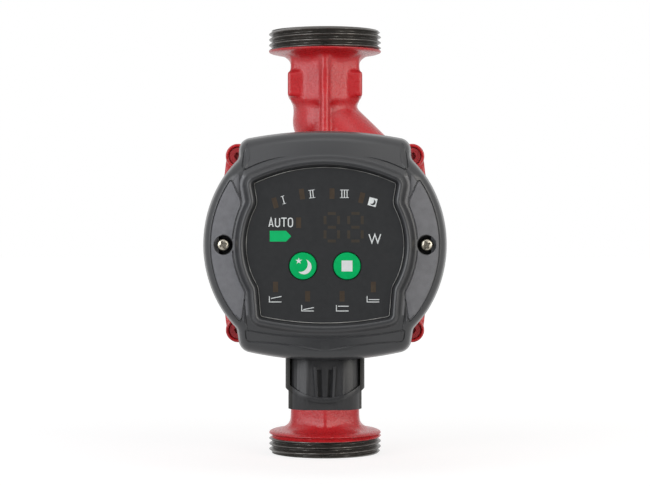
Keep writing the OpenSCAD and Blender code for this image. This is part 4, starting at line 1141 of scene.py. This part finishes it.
def white_room():
    """White for the camera, and a room that is bright behind the pump and dim in front of it."""
    world = bpy.data.worlds.new("room")
    world.use_nodes = True
    bpy.context.scene.world = world
    tree = world.node_tree
    front, behind = -0.6, 0.5
    dim, bright = 0.04, 0.48
    background = tree.nodes["Background"]
    background.inputs["Color"].default_value = (1.0, 1.0, 1.0, 1.0)
    direction = tree.nodes.new("ShaderNodeTexCoord").outputs["Generated"]
    split = tree.nodes.new("ShaderNodeSeparateXYZ")
    tree.links.new(direction, split.inputs["Vector"])
    room_light = remapped(tree, split.outputs["Y"], (front, behind), (dim, bright))
    level = remapped(tree, background_rays(tree), (0.0, 1.0), (0.0, 1.0))
    tree.links.new(room_light, level.node.inputs["To Min"])
    tree.links.new(level, background.inputs["Strength"])


def pale_floor():
    """A pale floor that looks white, with less added white near the pump, where its shadow falls."""
    bm = bmesh.new()
    half = 4.0
    level = -0.0002
    near, far = 0.1, 0.5
    near_white, far_white = 0.78, 0.92
    bm.faces.new([bm.verts.new((half * a, half * b, level)) for a, b in CORNER_SIGNS])
    floor = new_object("floor", bm)
    material = bpy.data.materials.new("pale_floor")
    material.use_nodes = True
    tree = material.node_tree
    shader = tree.nodes["Principled BSDF"]
    shader.inputs["Base Color"].default_value = (0.38, 0.38, 0.38, 1.0)
    shader.inputs["Roughness"].default_value = 0.9
    shader.inputs["Specular IOR Level"].default_value = 0.0
    shader.inputs["Emission Color"].default_value = (1.0, 1.0, 1.0, 1.0)
    reach = tree.nodes.new("ShaderNodeVectorMath")
    reach.operation = "LENGTH"
    tree.links.new(tree.nodes.new("ShaderNodeNewGeometry").outputs["Position"], reach.inputs[0])
    white = remapped(tree, reach.outputs["Value"], (near, far), (near_white, far_white))
    lift = tree.nodes.new("ShaderNodeMath")
    lift.operation = "MULTIPLY"
    tree.links.new(background_rays(tree), lift.inputs[0])
    tree.links.new(white, lift.inputs[1])
    tree.links.new(lift.outputs["Value"], shader.inputs["Emission Strength"])
    floor.data.materials.append(material)


white_room()
pale_floor()
black_card()
softbox("left_box", azimuth=-44, elevation=12, size=(0.8, 0.7), power=6.2, colour=(0.95, 0.97, 1.0))
softbox("right_box", azimuth=44, elevation=12, size=(0.8, 0.7), power=5.6, colour=(1.0, 0.97, 0.9))
softbox("top_box", azimuth=0, elevation=58, size=(0.9, 0.4), power=1.5, colour=(1.0, 1.0, 1.0))

CAMERA_DISTANCE = 823
CAMERA_HEIGHT = 100
CAMERA_TILT = 0.73
CAMERA_LENS = 106.5
camera_data = bpy.data.cameras.new("camera")
camera_data.lens = CAMERA_LENS
camera_data.sensor_width = 36.0
camera = bpy.data.objects.new("camera", camera_data)
camera.location = Vector((0.0, -CAMERA_DISTANCE, CAMERA_HEIGHT)) * MM
camera.rotation_euler = (math.radians(90 - CAMERA_TILT), 0.0, 0.0)
bpy.context.scene.collection.objects.link(camera)
bpy.context.scene.camera = camera
bpy.context.scene.view_settings.view_transform = "Standard"
